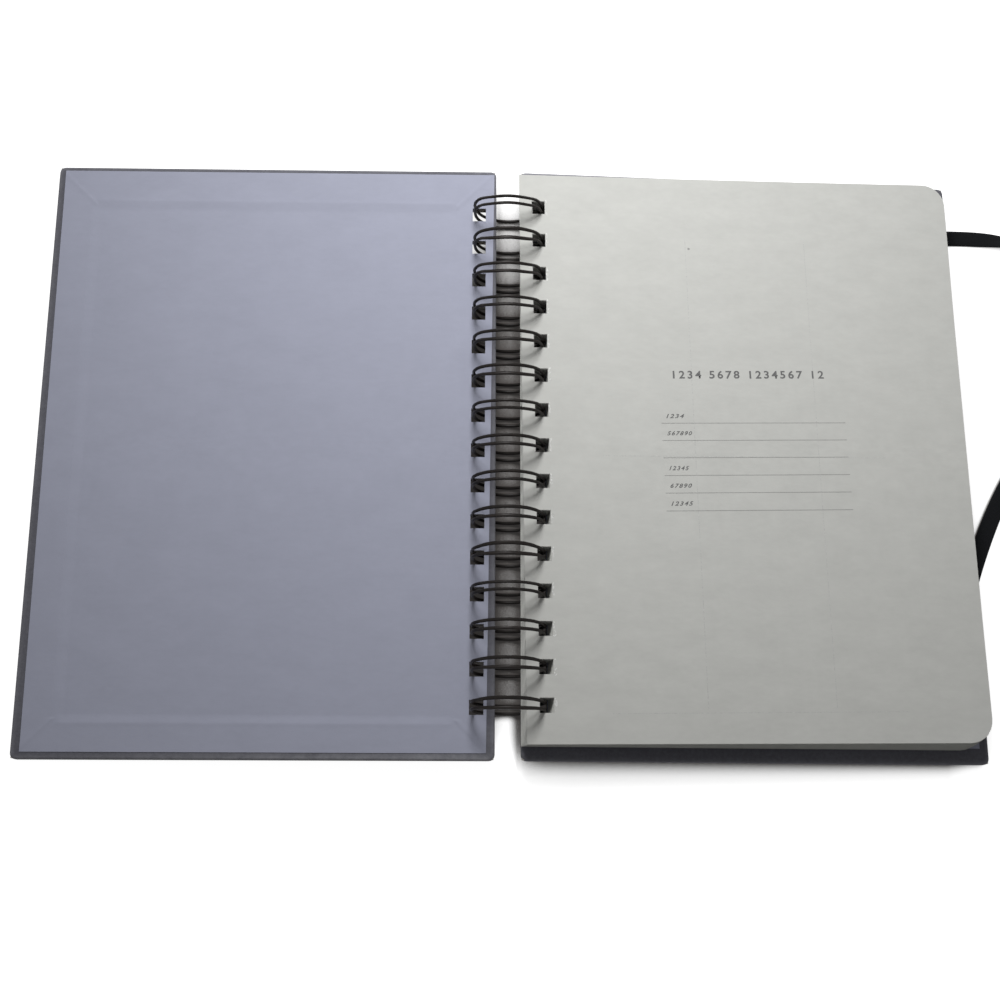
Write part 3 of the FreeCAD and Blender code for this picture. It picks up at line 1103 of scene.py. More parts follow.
@dataclass
class Cover:
    """One cover: greyboard, wrapped in cloth that turns in over its edges, and a papered lining."""

    side: Side
    tilt: float
    # How far the lining stays inside the cover's edges: (head, foot) at the fore edge and at the
    # spine, and then head and foot.
    fore_inset: tuple[float, float]
    spine_inset: tuple[float, float]
    end_inset: tuple[float, float]
    slots: bool = False
    cloth_thickness: float = 0.38 * MM
    edge_round: float = 0.8 * MM
    paper_thickness: float = 0.2 * MM
    step_down: float = 0.4 * MM
    fold: float = 12.0 * MM
    # How much the cloth is paled in all, partly rubbed and partly painted light that makes the front
    # paler than the back, how far a corner adds to it, and what every part has.
    wear_and_painted_light: float = 1.0
    corner_rub: float = 12.0 * MM
    held: float = 0.12
    # A painted highlight along the front cover's foot and the back cover's head near the spine: how
    # strong it is, and the width and length of that strip.
    spine_highlight: float = 0.9
    highlight_width: float = 6.0 * MM
    highlight_length: float = 170.0 * MM
    # Where the lining steps down, and how gently: at the head, at the foot and at the sides.
    head_step: tuple[float, float] = (15.2 * MM, 4.0 * MM)
    foot_step: tuple[float, float] = (13.3 * MM, 3.2 * MM)
    side_step: tuple[float, float] = (14.6 * MM, 4.6 * MM)
    # The lining's small relief: the lip at the fold and its width, the ridge of a mitred corner and
    # its reach to either side in millimetres, and the ripple and its closeness.
    lip: float = 0.05 * MM
    lip_width: float = 0.6 * MM
    mitre: float = 0.14 * MM
    mitre_reach: tuple[float, float] = (1.5, 0.5)
    ripple: float = 0.05 * MM
    ripples: float = 22.0
    # How closely the lining is divided: over its step, in its corners and over its middle.
    step_start: float = 11.6 * MM
    step_cut: float = 0.4 * MM
    step_cuts: int = 16
    corner_cut: float = 0.55 * MM
    middle_inset: float = 18 * MM
    middle_cut: float = 8 * MM

    @property
    def body(self) -> str:
        """The CAD body that the cover's pieces move with."""
        return f"{self.side.value}_cover"

    @property
    def place(self) -> Matrix:
        """Where the flat-made cover goes."""
        return BINDING.swing(self.side, self.tilt)

    @property
    def worn(self) -> float:
        """The width of the rubbed edge."""
        return 2.2 * self.edge_round

    def holes(self, bm: bmesh.types.BMesh) -> None:
        """Punches the binding holes."""
        size = (BINDING.hole_across, BINDING.hole_along)
        punch(bm, COVER.hole_reach, BINDING.rows(), size)

    def wrap(self) -> bpy.types.Object:
        """The covering cloth: outside, edges and turned-in borders, one folded sheet.

        Returns:
            The piece.
        """
        bm = plate(COVER.near, COVER.far, COVER.half_length, COVER.bottom)
        round_corners(bm, bm.verts[:], COVER.corner, 4)
        thicken(bm, COVER.turn_in_top - COVER.bottom)
        rims = [edge for edge in bm.edges if abs(edge.verts[0].co.z - edge.verts[1].co.z) < 1e-6]
        bmesh.ops.bevel(
            bm, geom=rims, affect="EDGES", offset=self.edge_round, offset_type="OFFSET",
            segments=4, profile=0.5, material=-1,
        )
        self.open_inside(bm)
        self.holes(bm)
        if self.slots:
            reach = COVER.far - COVER.slot_inset
            rows = (-COVER.slot_reach, COVER.slot_reach)
            punch(bm, reach, rows, COVER.slot_size, highest=COVER.bottom + COVER.slot_height)
        # Paled at rubbed edges and by a painted highlight near the spine.
        wear_and_highlight = bm.verts.layers.float.new("wear_and_highlight")
        for vertex in bm.verts:
            vertex[wear_and_highlight] = self.wear_and_highlight_at(vertex.co.x, vertex.co.y)
        bmesh.ops.solidify(bm, geom=everything(bm), thickness=self.cloth_thickness)
        return settle(bm, f"{self.side.value}_cover_cloth", self.place)

    def open_inside(self, bm: bmesh.types.BMesh) -> None:
        """Divides the cloth at its worn edges and its folds, and opens it between the folds.

        Args:
            bm: the cloth, still closed all round.
        """
        fold, worn = self.fold, self.worn
        cut_lines(bm, 0, (COVER.near + worn, COVER.near + fold, COVER.far - fold, COVER.far - worn))
        ends = (COVER.half_length - fold, COVER.half_length - worn)
        cut_lines(bm, 1, (sign * end for sign in (-1, 1) for end in ends))
        opened = []
        for face in bm.faces:
            middle = face.calc_center_median()
            inside = COVER.near + fold < middle.x < COVER.far - fold and abs(middle.y) < ends[0]
            if inside and middle.z > COVER.turn_in_top - 0.1 * MM:
                opened.append(face)
        bmesh.ops.delete(bm, geom=opened, context="FACES")

    def wear_and_highlight_at(self, x: float, y: float) -> float:
        """How pale the cloth is made at a point of the cover, still flat and at the origin: rubbed at
        its edges and corners, and with a painted highlight near the spine.

        Args:
            x: its reach from the loop axis.
            y: its place along the spine.

        Returns:
            The paling, 0 for none.
        """
        to_x = min(x - COVER.near, COVER.far - x)
        to_y = COVER.half_length - abs(y)
        rubbed = 1.0 - smoothstep(min(to_x, to_y) / (0.9 * self.worn))
        near_corner = 1.0 - smoothstep(math.hypot(to_x, to_y) / self.corner_rub)
        # A painted highlight in a strip along one end, near the spine.
        held_and_highlight = self.held
        if self.at_head(y) == (self.side is Side.BACK):
            strip = 1.0 - smoothstep(to_y / self.highlight_width)
            held_and_highlight += self.spine_highlight * strip * (1.0 - smoothstep(x / self.highlight_length))
        return self.wear_and_painted_light * (rubbed * (0.65 + 0.35 * near_corner) + held_and_highlight)

    def at_head(self, y: float) -> bool:
        """Whether a point of the flat-made cover lies towards the head of the book."""
        return y < 0 if self.side is Side.FRONT else y > 0

    def lining_outline(self, bm: bmesh.types.BMesh) -> None:
        """Draws the plate's corners in to where the lining paper was laid.

        Args:
            bm: the plate.
        """
        for vertex in bm.verts:
            index = 0 if self.at_head(vertex.co.y) else 1
            fore = vertex.co.x > MIDWAY
            inset = (self.fore_inset if fore else self.spine_inset)[index]
            vertex.co.x += -inset if fore else inset
            vertex.co.y -= math.copysign(self.end_inset[index], vertex.co.y)

    def relief(self, x: float, y: float) -> float:
        """How far the lining's face lies below its border at a point.

        Args:
            x: the point's reach from the loop axis.
            y: its place along the spine.

        Returns:
            The height to add to the flat face, below 0 where it is sunk.
        """
        to_x = min(x - COVER.near, COVER.far - x)
        to_y = COVER.half_length - abs(y)
        end_inset, end_width = self.head_step if self.at_head(y) else self.foot_step
        side_inset, side_width = self.side_step
        sunk = smoothstep((to_x - side_inset) / side_width + 0.5)
        sunk *= smoothstep((to_y - end_inset) / end_width + 0.5)
        lip = 0.0
        if to_x > side_inset:
            beside = (to_y - end_inset + end_width / 2) / self.lip_width
            lip = self.lip * math.exp(-(beside ** 2))
        mitre = 0.0
        if to_x < side_inset and to_y < end_inset:
            across = (to_x - to_y) / MM
            mitre = self.mitre * math.exp(-((across / self.mitre_reach[across > 0]) ** 2))
        layer = 3.0 if self.side is Side.FRONT else 7.0
        wave = noise.noise(Vector((x * self.ripples, y * self.ripples, layer)))
        return -self.step_down * sunk + max(lip, mitre) + self.ripple * sunk * (1 + wave)

    def cut_border(self, bm: bmesh.types.BMesh, cuts: list[float]) -> None:
        """Divides the lining at distances in from each edge of the cover."""
        cut_lines(bm, 0, [COVER.near + cut for cut in cuts] + [COVER.far - cut for cut in cuts])
        cut_lines(bm, 1, [sign * (COVER.half_length - cut) for cut in cuts for sign in (-1, 1)])

    def lining(self) -> bpy.types.Object:
        """The endpaper, laid over the turned-in cloth and sunk onto the board between it.

        Returns:
            The piece.
        """
        level = COVER.lining_top - self.paper_thickness
        bm = plate(COVER.near, COVER.far, COVER.half_length, level)
        self.lining_outline(bm)
        ridge = [self.step_start + self.step_cut * step for step in range(self.step_cuts)]
        self.cut_border(bm, ridge)
        self.cut_border(bm, steps_between(0.0, ridge[0], self.corner_cut))
        near, far = COVER.near + self.middle_inset, COVER.far - self.middle_inset
        half = COVER.half_length - self.middle_inset
        cut_lines(bm, 0, steps_between(near, far, self.middle_cut))
        cut_lines(bm, 1, steps_between(-half, half, self.middle_cut))
        self.holes(bm)
        for vertex in bm.verts:
            vertex.co.z += self.relief(vertex.co.x, vertex.co.y)
        thicken(bm, self.paper_thickness)
        return settle(bm, f"{self.side.value}_cover_lining", self.place)

    def build(self, cloth: BookCloth, paper: Paper, board: Greyboard) -> None:
        """Makes and dresses the cover's pieces.

        Args:
            cloth: the covering.
            paper: the endpaper.
            board: the board inside.
        """
        name = self.side.value
        wrap = self.wrap()
        wrap.data.materials.append(cloth.material())
        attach(wrap, self.body)
        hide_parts(f"{name}_wrap")
        lining = self.lining()
        lining.data.materials.append(paper.material())
        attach(lining, self.body)
        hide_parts(f"{name}_lining")
        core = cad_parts[f"{name}_board"]
        core.data.materials.clear()
        core.data.materials.append(board.material())
        for piece in (wrap, lining, core):
            LOG.info("%s: %d faces", piece.name, len(piece.data.polygons))


# --- The sheets -------------------------------------------------------------------------------


@dataclass
class SheetBlock:
    """The block of punched sheets, the uppermost ones slightly fanned and lifting."""

    near: float = 4.3 * MM
    far: float = 160.8 * MM
    half_length: float = 101.6 * MM
    bottom: float = -3.85 * MM
    top: float = 2.90 * MM
    corner: float = 8.0 * MM
    hole_reach: float = 11.0 * MM
    sheets: int = 77
    gap: float = 0.012 * MM
    loose: int = 9
    lead: float = 0.25 * MM
    fan: float = math.radians(0.7)
    arch: float = 0.25 * MM
    # How far a sheet may stray: across and along, in millimetres, and turned, in degrees.
    stray: tuple[float, float, float] = (0.10, 0.12, 0.03)
    # The curl of the topmost sheet: how high its corners lift at the head and at the foot, where
    # each lift starts and how long it runs, as shares of the half length, and how far it billows.
    head_lift: float = 0.75 * MM
    foot_lift: float = 0.35 * MM
    head_rise: tuple[float, float] = (0.35, 0.65)
    foot_rise: tuple[float, float] = (0.55, 0.45)
    billow: float = 0.05 * MM
    billows: float = 16.0
    division: float = 6 * MM
    seed: int = 11

    @property
    def place(self) -> Matrix:
        """Where the flat-made block goes."""
        return BINDING.swing(Side.BACK, BACK_TILT)

    @property
    def pitch(self) -> float:
        """The height that one sheet takes."""
        return (self.top - self.bottom) / self.sheets

    def sheet(self, bends: bool) -> bpy.types.Mesh:
        """One punched sheet at level 0.

        Args:
            bends: divide it finely enough to curl.

        Returns:
            Its mesh, a closed thin slab.
        """
        bm = plate(self.near, self.far, self.half_length, 0.0)
        round_corners(bm, [vertex for vertex in bm.verts if vertex.co.x > MIDWAY], self.corner, 7)
        if bends:
            cut_lines(bm, 0, steps_between(self.near + 2 * self.division, self.far, self.division))
            cut_lines(bm, 1, steps_between(-self.half_length, self.half_length, self.division))
        size = (BINDING.hole_across, BINDING.hole_along)
        punch(bm, self.hole_reach, BINDING.rows(), size)
        thicken(bm, self.pitch - self.gap)
        mesh = bpy.data.meshes.new("sheet")
        bm.to_mesh(mesh)
        bm.free()
        return mesh

    def curl(self, x: float, y: float) -> float:
        """How far the topmost sheet lifts at a point.

        Args:
            x: the point's reach from the loop axis.
            y: its place along the spine.

        Returns:
            The lift.
        """
        reach = (x - self.near) / (self.far - self.near)
        head = smoothstep((y / self.half_length - self.head_rise[0]) / self.head_rise[1])
        foot = smoothstep((-y / self.half_length - self.foot_rise[0]) / self.foot_rise[1])
        corner = self.head_lift * reach ** 3 * head + self.foot_lift * reach ** 3 * foot
        wave = noise.noise(Vector((x * self.billows, y * self.billows, 1.0)))
        return corner + self.billow * reach * (1 + wave)

    def lay(self, index: int, rng: random.Random) -> tuple[Matrix, float]:
        """Where one sheet lies in the block, and its share of the curl.

        Args:
            index: its number from the bottom.
            rng: the source of its small errors.

        Returns:
            The matrix in the block's own frame, and the share of the curl.
        """
        level = self.bottom + index * self.pitch
        depth = self.sheets - 1 - index
        share = max(0.0, 1 - depth / self.loose)
        arch = self.arch * (1 - (2 * index / (self.sheets - 1) - 1) ** 2)
        drawn = self.lead * index / (self.sheets - 1)
        across, lengthwise, turned = self.stray
        shift = arch + drawn + rng.uniform(-across, across) * MM
        along = rng.uniform(-lengthwise, lengthwise) * MM
        turn = rng.uniform(-turned, turned) * math.radians(1)
        turn += self.fan * (1 - depth / self.sheets) if depth else self.fan
        move = Matrix.Translation((shift, along, level))
        return move @ turn_about(self.hole_reach, 0, turn), share

    def block(self) -> bpy.types.Object:
        """Stacks all the sheets into one piece.

        Returns:
            The piece.
        """
        rng = random.Random(self.seed)
        stiff = self.sheet(False)
        supple = self.sheet(True)
        bm = bmesh.new()
        for index in range(self.sheets):
            where, share = self.lay(index, rng)
            fresh = add_mesh(bm, supple if share > 0 else stiff)
            if share > 0:
                for vertex in fresh:
                    vertex.co.z += share * self.curl(vertex.co.x, vertex.co.y)
            bmesh.ops.transform(bm, matrix=where, verts=fresh)
        bpy.data.meshes.remove(stiff)
        bpy.data.meshes.remove(supple)
        return settle(bm, "sheet_block", self.place)

    def build(self, paper: Paper) -> None:
        """Makes and dresses the block.

        Args:
            paper: the sheets' paper.
        """
        block = self.block()
        block.data.materials.append(paper.material())
        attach(block, "pages")
        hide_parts("page_block")
        LOG.info("%s: %d sheets, %d faces", block.name, self.sheets, len(block.data.polygons))


@dataclass
class FirstPage:
    """The print on the uppermost sheet: a row of numerals over six ruled, numbered lines."""

    block: SheetBlock
    ink: Ink
    faint: Ink
    ghost: Ink
    # The fibres at the holes, in an ink lighter than the paper: painted highlights.
    burr_highlight: Ink
    lift: float = 0.03 * MM
    askew: float = math.radians(1.0)
    middle: tuple[float, float] = (0.086, -0.006)
    rule_width: float = 0.20 * MM
    rule_near: float = 52.95 * MM
    rule_far: float = 118.25 * MM
    rule_rows: tuple[float, ...] = (0.00919, 0.00294, -0.00330, -0.00963, -0.01588, -0.02220)
    heading: str = "1234 5678 1234567 12"
    heading_left: float = 57.95 * MM
    heading_foot: float = 0.02565
    heading_width: float = 54.0 * MM
    heading_height: float = 2.85 * MM
    heading_spacing: float = 1.35
    # Each label: its numerals, the rule that it stands on, from the top, and its width.
    labels: tuple[tuple[str, int, float], ...] = (
        ("1234", 0, 6.4 * MM), ("567890", 1, 8.8 * MM), ("12345", 3, 7.0 * MM),
        ("67890", 4, 7.6 * MM), ("12345", 5, 7.7 * MM),
    )
    label_left: float = 54.75 * MM
    label_lift: float = 1.9 * MM
    label_height: float = 1.5 * MM
    label_spacing: float = 1.3
    label_slant: float = 0.35
    # A numeral's height as a share of the type's size, and how much bolder it is, as a share of its
    # height.
    cap_share: float = 0.73
    boldness: float = 0.03
    # The lines that show through: half their width, the places and ends of those along Y and of
    # those along X, and their turn as a share of the print's.
    ghost_half: float = 0.15 * MM
    ghost_columns: tuple[float, ...] = (64.25 * MM, 107.75 * MM)
    ghost_column_ends: tuple[float, float] = (-90.0 * MM, 78.0 * MM)
    ghost_rows: tuple[float, ...] = (-3.1 * MM, -91.3 * MM)
    ghost_row_ends: tuple[float, float] = (32.0 * MM, 132.0 * MM)
    ghost_turn: float = 0.3
    burrs_per_hole: int = 7
    burr_seed: int = 5
    fleck_place: tuple[float, float] = (65.05 * MM, 74.3 * MM)
    fleck_radius: float = 0.45 * MM

    def on_sheet(self, bm: bmesh.types.BMesh, lift: float) -> None:
        """Lays flat print on the curled, fanned top sheet.

        Args:
            bm: the flat print.
            lift: how far it stands off the sheet.
        """
        block = self.block
        top = block.top - block.gap + lift
        for vertex in bm.verts:
            x, y, z = vertex.co
            vertex.co.z = z + top + block.curl(x, y)

    @property
    def place(self) -> Matrix:
        """Where the top sheet's print goes.

        Returns:
            The matrix from the flat print to the row frame.
        """
        block = self.block
        fan = turn_about(block.hole_reach, 0, block.fan)
        return block.place @ Matrix.Translation((block.lead, 0, 0)) @ fan

    def strip(self, bm: bmesh.types.BMesh, low: tuple[float, float], high: tuple[float, float]) -> None:
        """Adds one thin printed bar between two corners, divided to follow the sheet.

        Args:
            bm: the flat print.
            low: the corner of smallest X and Y.
            high: the corner of largest X and Y.
        """
        length = max(high[0] - low[0], high[1] - low[1])
        edges = {edge for vertex in lay_rectangle(bm, low, high) for edge in vertex.link_edges}
        long = [edge for edge in edges if edge.calc_length() > 0.9 * length]
        bmesh.ops.subdivide_edges(bm, edges=long, cuts=max(1, round(length / (6 * MM))))

    def numerals(self, text: str, height: float, spacing: float, slant: float) -> bpy.types.Mesh:
        """Sets a line of numerals.

        Args:
            text: the numerals.
            height: the height of a numeral.
            spacing: the width of the space between characters, 1 being plain.
            slant: how far they lean.

        Returns:
            A flat mesh that starts at the origin.
        """
        curve = bpy.data.curves.new("numerals", "FONT")
        curve.body = text
        curve.size = height / self.cap_share
        curve.space_character = spacing
        curve.offset = self.boldness * height
        curve.shear = slant
        curve.resolution_u = 3
        setter = bpy.data.objects.new("numerals", curve)
        mesh = bpy.data.meshes.new_from_object(setter)
        bpy.data.objects.remove(setter)
        bpy.data.curves.remove(curve)
        return mesh

    def set_line(self, bm: bmesh.types.BMesh, text: str, height: float, spacing: float, slant: float,
                 left: float, row: float, width: float) -> None:
        """Prints a line of numerals with its left end and its foot at a point of the sheet.

        Args:
            bm: the flat print.
            text: the numerals.
            height: the height of a numeral.
            spacing: the space between characters, 1 being plain.
            slant: how far they lean.
            left: the X of the left end.
            row: the Y of the foot.
            width: the length of the whole line.
        """
        mesh = self.numerals(text, height, spacing, slant)
        fresh = add_mesh(bm, mesh)
        bpy.data.meshes.remove(mesh)
        low = min(vertex.co.x for vertex in fresh)
        high = max(vertex.co.x for vertex in fresh)
        size = Matrix.Diagonal((width / (high - low), 1, 1, 1))
        move = Matrix.Translation((left, row, 0)) @ size @ Matrix.Translation((-low, 0, 0))
        bmesh.ops.transform(bm, matrix=move, verts=fresh)

    def burrs(self) -> bmesh.types.BMesh:
        """Strews ragged white fibres along the outer edge of each hole, where the wire has rubbed, in
        an ink lighter than the paper as painted highlights.

        Returns:
            The flat print.
        """
        rng = random.Random(self.burr_seed)
        bm = bmesh.new()
        edge = self.block.hole_reach + BINDING.hole_across / 2
        for row in BINDING.rows():
            for _ in range(self.burrs_per_hole):
                made = bmesh.ops.create_circle(bm, cap_ends=True, segments=7, radius=1.0)
                size = Matrix.Diagonal((rng.uniform(0.08, 0.26) * MM, rng.uniform(0.2, 0.7) * MM, 1, 1))
                turn = Matrix.Rotation(rng.uniform(-0.7, 0.7), 4, "Z")
                reach = edge + rng.uniform(0.2, 0.85) * MM
                along = row + rng.uniform(-2.7, 2.7) * MM
                place = Matrix.Translation((reach, along, 0)) @ turn @ size
                bmesh.ops.transform(bm, matrix=place, verts=made["verts"])
        return bm

    def print_piece(self, bm: bmesh.types.BMesh, name: str, ink: Ink, angle: float) -> None:
        """Lays one printing on the sheet, turned by a small angle, with its ink.

        Args:
            bm: the flat print.
            name: the piece's name.
            ink: its ink.
            angle: its turn about the middle of the printed lines.
        """
        turned = turn_about(*self.middle, angle)
        bmesh.ops.transform(bm, matrix=turned, verts=bm.verts)
        self.on_sheet(bm, self.lift / 2 if ink is self.ghost else self.lift)
        piece = settle(bm, name, self.place, smooth=False)
        piece.data.materials.append(ink.material())
        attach(piece, "pages")
        LOG.info("%s: %d faces", name, len(piece.data.polygons))

    def rules(self) -> bmesh.types.BMesh:
        """Draws the ruled lines.

        Returns:
            The flat print.
        """
        bm = bmesh.new()
        half = self.rule_width / 2
        for row in self.rule_rows:
            self.strip(bm, (self.rule_near, row - half), (self.rule_far, row + half))
        return bm

    def lettering(self) -> bmesh.types.BMesh:
        """Sets the heading, and the labels over the rules.

        Returns:
            The flat print.
        """
        bm = bmesh.new()
        self.set_line(
            bm, self.heading, self.heading_height, self.heading_spacing, 0.0,
            self.heading_left, self.heading_foot, self.heading_width,
        )
        for text, index, width in self.labels:
            self.set_line(
                bm, text, self.label_height, self.label_spacing, self.label_slant,
                self.label_left, self.rule_rows[index] + self.label_lift, width,
            )
        return bm

    def show_through(self) -> bmesh.types.BMesh:
        """Draws the lines of the next page that show through.

        Returns:
            The flat print.
        """
        bm = bmesh.new()
        half = self.ghost_half
        foot, head = self.ghost_column_ends
        for reach in self.ghost_columns:
            self.strip(bm, (reach - half, foot), (reach + half, head))
        near, far = self.ghost_row_ends
        for row in self.ghost_rows:
            self.strip(bm, (near, row - half), (far, row + half))
        return bm

    def fleck(self) -> bmesh.types.BMesh:
        """Draws one small fleck in the paper.

        Returns:
            The flat print.
        """
        bm = bmesh.new()
        made = bmesh.ops.create_circle(bm, cap_ends=True, segments=9, radius=self.fleck_radius)
        bmesh.ops.translate(bm, verts=made["verts"], vec=(*self.fleck_place, 0))
        return bm

    def build(self) -> None:
        """Prints the page."""
        ghost_angle = self.ghost_turn * self.askew
        self.print_piece(self.rules(), "page_rules", self.faint, self.askew)
        self.print_piece(self.lettering(), "page_numerals", self.ink, self.askew)
        self.print_piece(self.show_through(), "page_show_through", self.ghost, ghost_angle)
        self.print_piece(self.burrs(), "page_hole_burrs", self.burr_highlight, 0.0)
        self.print_piece(self.fleck(), "page_fleck", self.faint, 0.0)


# --- The wire ---------------------------------------------------------------------------------


@dataclass
class WireBender:
    """Draws round wire by moving the rim of its open end."""

    bm: bmesh.types.BMesh
    rim: list

    @classmethod
    def start(cls, point: Vector, heading: Vector, diameter: float, sides: int) -> "WireBender":
        """Begins a wire at a point with a closed end, looking along heading.

        Args:
            point: where it begins.
            heading: the way that it runs.
            diameter: its diameter.
            sides: how many sides its section has.

        Returns:
            The bender, at the wire's open end.
        """
        bm = bmesh.new()
        made = bmesh.ops.create_circle(bm, cap_ends=False, segments=sides, radius=diameter / 2)
        turn = heading.to_track_quat("Z", "Y").to_matrix().to_4x4()
        bmesh.ops.transform(bm, matrix=Matrix.Translation(point) @ turn, verts=made["verts"])
        edges = {edge for vertex in made["verts"] for edge in vertex.link_edges}
        bmesh.ops.contextual_create(bm, geom=list(edges))
        return cls(bm, [*made["verts"], *edges])

    def edges(self) -> list[bmesh.types.BMEdge]:
        """The edges of the open end."""
        return only(bmesh.types.BMEdge, self.rim)

    def bend(self, centre: Vector, axis: Vector, angle: float, steps: int) -> None:
        """Carries the rim round an axis.

        Args:
            centre: a point of the axis.
            axis: its direction.
            angle: how far round.
            steps: in how many steps.
        """
        made = bmesh.ops.spin(
            self.bm, geom=self.rim, cent=centre, axis=axis, dvec=(0, 0, 0), angle=angle,
            space=Matrix.Identity(4), steps=steps, use_merge=False, use_normal_flip=False,
            use_duplicate=False,
        )
        self.rim = [part for part in made["geom_last"] if not isinstance(part, bmesh.types.BMFace)]

    def run(self, move: Vector) -> None:
        """Carries the rim straight on.

        Args:
            move: how far, and which way.
        """
        verts, edges = extrude_rim(self.bm, self.edges())
        bmesh.ops.translate(self.bm, verts=verts, vec=move)
        self.rim = [*verts, *edges]

    def close(self) -> bmesh.types.BMesh:
        """Caps the open end and turns every face outwards.

        Returns:
            The finished wire.
        """
        bmesh.ops.contextual_create(self.bm, geom=self.edges())
        bmesh.ops.recalc_face_normals(self.bm, faces=self.bm.faces)
        return self.bm


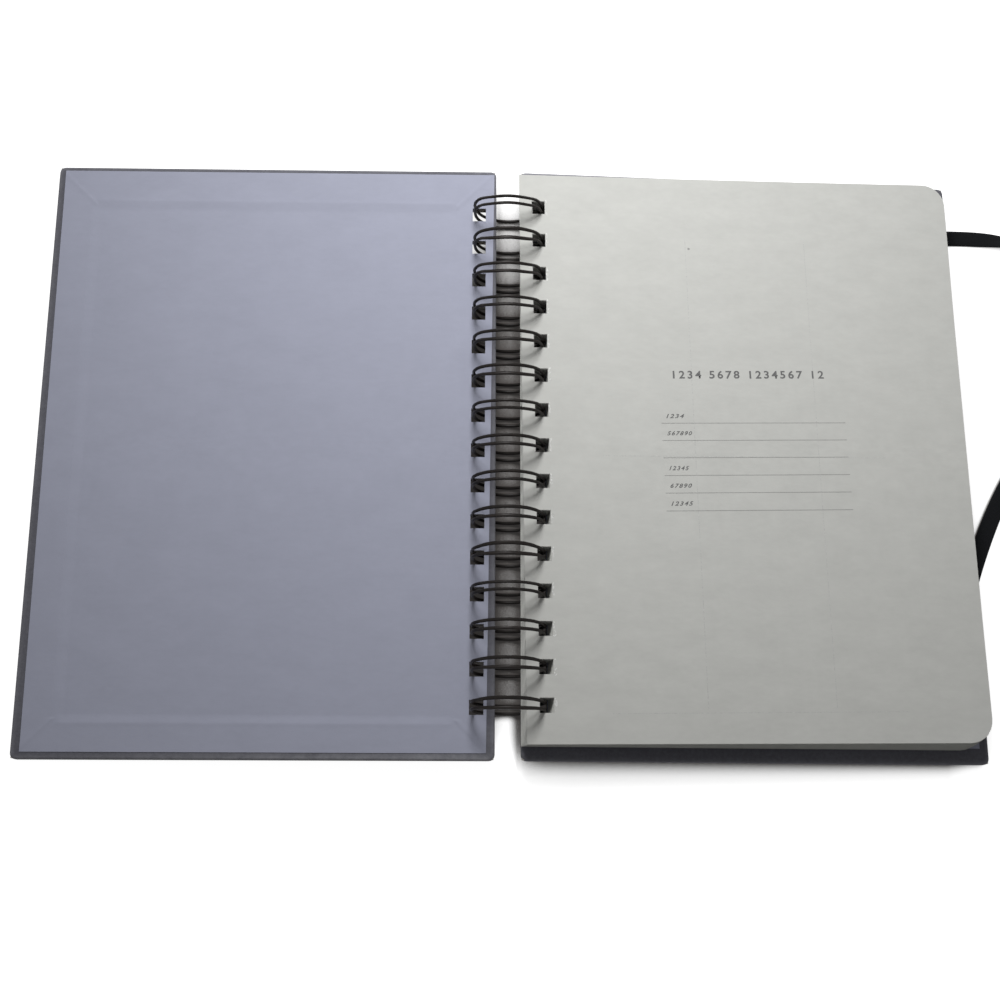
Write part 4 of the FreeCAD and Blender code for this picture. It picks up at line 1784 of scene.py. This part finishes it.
@dataclass
class TwinLoopWire:
    """The binding wire: a comb of hairpin loops, closed into rings."""

    outside: float = 25.4 * MM
    diameter: float = 1.1 * MM
    spacing: float = 2.6 * MM
    bend: float = 1.1 * MM
    root_angle: float = math.radians(-62.5)
    tip_angle: float = math.radians(-49.5)
    sides: int = 10
    ring_steps: int = 40
    corner_steps: int = 4
    tip_steps: int = 8
    # How far each loop's crown leans towards the foot, and how far its two wires stand apart from
    # their even place, in millimetres, from the head down.
    leans: tuple[float, ...] = (
        1.4, 1.4, 1.5, 1.3, 1.15, 1.0, 0.85, 0.6, 0.35, 0.15, 0.0, -0.1, -0.1, -0.25, 0.1,
    )
    spreads: tuple[float, ...] = (
        0.0, 0.6, 0.25, 0.15, 0.3, 0.35, 0.0, 0.2, 0.05, 0.3, 0.55, -0.1, 0.15, 0.35, 0.4,
    )

    # Where a loop starts to lean as a whole, to lean at its crown, to be pulled towards the front
    # cover and to be pressed down, and over what height, in millimetres from the axis up.
    whole_rise: tuple[float, float] = (-0.7, 5.0)
    crown_rise: tuple[float, float] = (6.0, 6.15)
    pull_rise: tuple[float, float] = (-2.0, 7.0)
    press_rise: tuple[float, float] = (4.0, 8.15)
    # How far it is pulled and pressed, and how far it can lean as a whole, in millimetres.
    pull: float = 0.6
    press: float = 0.5
    play: float = 0.35

    def ring_point(self, angle: float, along: float) -> Vector:
        """A point of a loop's centre line, its angle taken from +X up to +Z."""
        radius = (self.outside - self.diameter) / 2
        return Vector((radius * math.cos(angle), along, radius * math.sin(angle)))

    def heading(self, angle: float) -> Vector:
        """The way a loop runs at an angle, towards falling angles."""
        return Vector((math.sin(angle), 0, -math.cos(angle)))

    def loop(self, wire: WireBender, row: float) -> None:
        """Bends one hairpin loop whose middle stands at row along Y.

        Args:
            wire: the wire.
            row: the loop's place along Y.
        """
        down = Vector((0, -1, 0))
        half = self.spacing / 2
        root = self.heading(self.root_angle)
        tip = self.heading(self.tip_angle)
        sweep = math.tau - (self.tip_angle - self.root_angle)
        straight = BINDING.pitch / 2 - half - self.bend
        quarter = math.radians(90)
        axis = Vector((0, 0, 0))
        wire.run(down * straight)
        corner = self.ring_point(self.root_angle, row + half) - down * self.bend
        wire.bend(corner, down.cross(root), quarter, self.corner_steps)
        wire.bend(axis, Vector((0, 1, 0)), sweep, self.ring_steps)
        nose = self.ring_point(self.tip_angle, row)
        wire.bend(nose, tip.cross(down), math.pi, self.tip_steps)
        wire.bend(axis, Vector((0, -1, 0)), sweep, self.ring_steps)
        corner = self.ring_point(self.root_angle, row - half) + down * self.bend
        wire.bend(corner, (-root).cross(down), quarter, self.corner_steps)
        wire.run(down * straight)

    def comb(self) -> bpy.types.Object:
        """Bends the whole wire, from the head of the book to its foot.

        Returns:
            The piece.
        """
        rows = BINDING.rows()[::-1]
        start = self.ring_point(self.root_angle, rows[0] + BINDING.pitch / 2)
        start -= self.heading(self.root_angle) * self.bend
        wire = WireBender.start(start, Vector((0, -1, 0)), self.diameter, self.sides)
        for row in rows:
            self.loop(wire, row)
        bm = wire.close()
        self.loosen(bm, rows)
        place = Matrix.Translation((0, 0, BINDING.axis_height))
        return settle(bm, "binding_wire", place)

    def loosen(self, bm: bmesh.types.BMesh, rows: list[float]) -> None:
        """Leans, spreads and flattens each loop's crown a little, as use does, but no root.

        Args:
            bm: the whole wire, with its axis at height 0.
            rows: the loops' places along Y, from the head down.
        """
        for vertex in bm.verts:
            height = vertex.co.z
            index = min(range(len(rows)), key=lambda number: abs(rows[number] - vertex.co.y))
            side = max(-1.0, min(1.0, (vertex.co.y - rows[index]) / (self.spacing / 2)))
            lean = self.leans[index]
            slack = max(-self.play, min(self.play, lean))
            apart = self.spreads[index] * side - lean + slack
            shift = risen(height, self.crown_rise) * apart - risen(height, self.whole_rise) * slack
            pulled = self.pull * risen(height, self.pull_rise)
            pressed = self.press * risen(height, self.press_rise)
            vertex.co += Vector((-pulled, shift, -pressed)) * MM

    def build(self, enamel: Enamel) -> None:
        """Makes and dresses the wire.

        Args:
            enamel: its finish.
        """
        wire = self.comb()
        wire.data.materials.append(enamel.material())
        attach(wire, "back_cover")
        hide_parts("twin_loop_wire")
        LOG.info("%s: %d faces", wire.name, len(wire.data.polygons))


def main() -> None:
    """Builds the studio and then the planner, piece by piece."""
    logging.basicConfig(level=logging.INFO, format="%(name)s: %(message)s")
    studio = Studio()
    studio.camera()
    ClosingBand().build(Elastic("woven_elastic", (0.0038, 0.0043, 0.0052)))
    studio.light()
    studio.table()

    cloth = BookCloth("charcoal_cloth", (0.112, 0.112, 0.132), (0.36, 0.36, 0.39))
    endpaper = Paper("lilac_endpaper", (0.387, 0.401, 0.494), mottle=0.035)
    greyboard = Greyboard("grey_board", (0.42, 0.40, 0.37))
    front = Cover(
        Side.FRONT, FRONT_TILT, fore_inset=(2.4 * MM, 3.2 * MM), spine_inset=(0.8 * MM, 2.9 * MM),
        end_inset=(1.6 * MM, 2.4 * MM),
    )
    # The back cover's cloth is paled half as much, and its painted highlight is stronger.
    back = Cover(
        Side.BACK, BACK_TILT, fore_inset=(3.2 * MM, 3.2 * MM), spine_inset=(2.6 * MM, 2.4 * MM),
        end_inset=(5.2 * MM, 5.4 * MM), slots=True, wear_and_painted_light=0.5, spine_highlight=2.0,
    )
    for cover in (front, back):
        cover.build(cloth, endpaper, greyboard)

    block = SheetBlock()
    block.build(Paper("page_stock", (0.592, 0.595, 0.568), mottle=0.045))
    FirstPage(
        block,
        ink=Ink("grey_ink", (0.15, 0.15, 0.15)),
        faint=Ink("faint_ink", (0.33, 0.33, 0.32)),
        ghost=Ink("show_through", (0.555, 0.558, 0.536)),
        # Burrs painted lighter than the paper, as highlights.
        burr_highlight=Ink("burr_highlight_fibres", (0.78, 0.78, 0.76)),
    ).build()

    TwinLoopWire().build(Enamel("bronze_enamel", (0.0105, 0.0080, 0.0070), (0.052, 0.034, 0.026)))


if __name__ == "__main__":
    main()
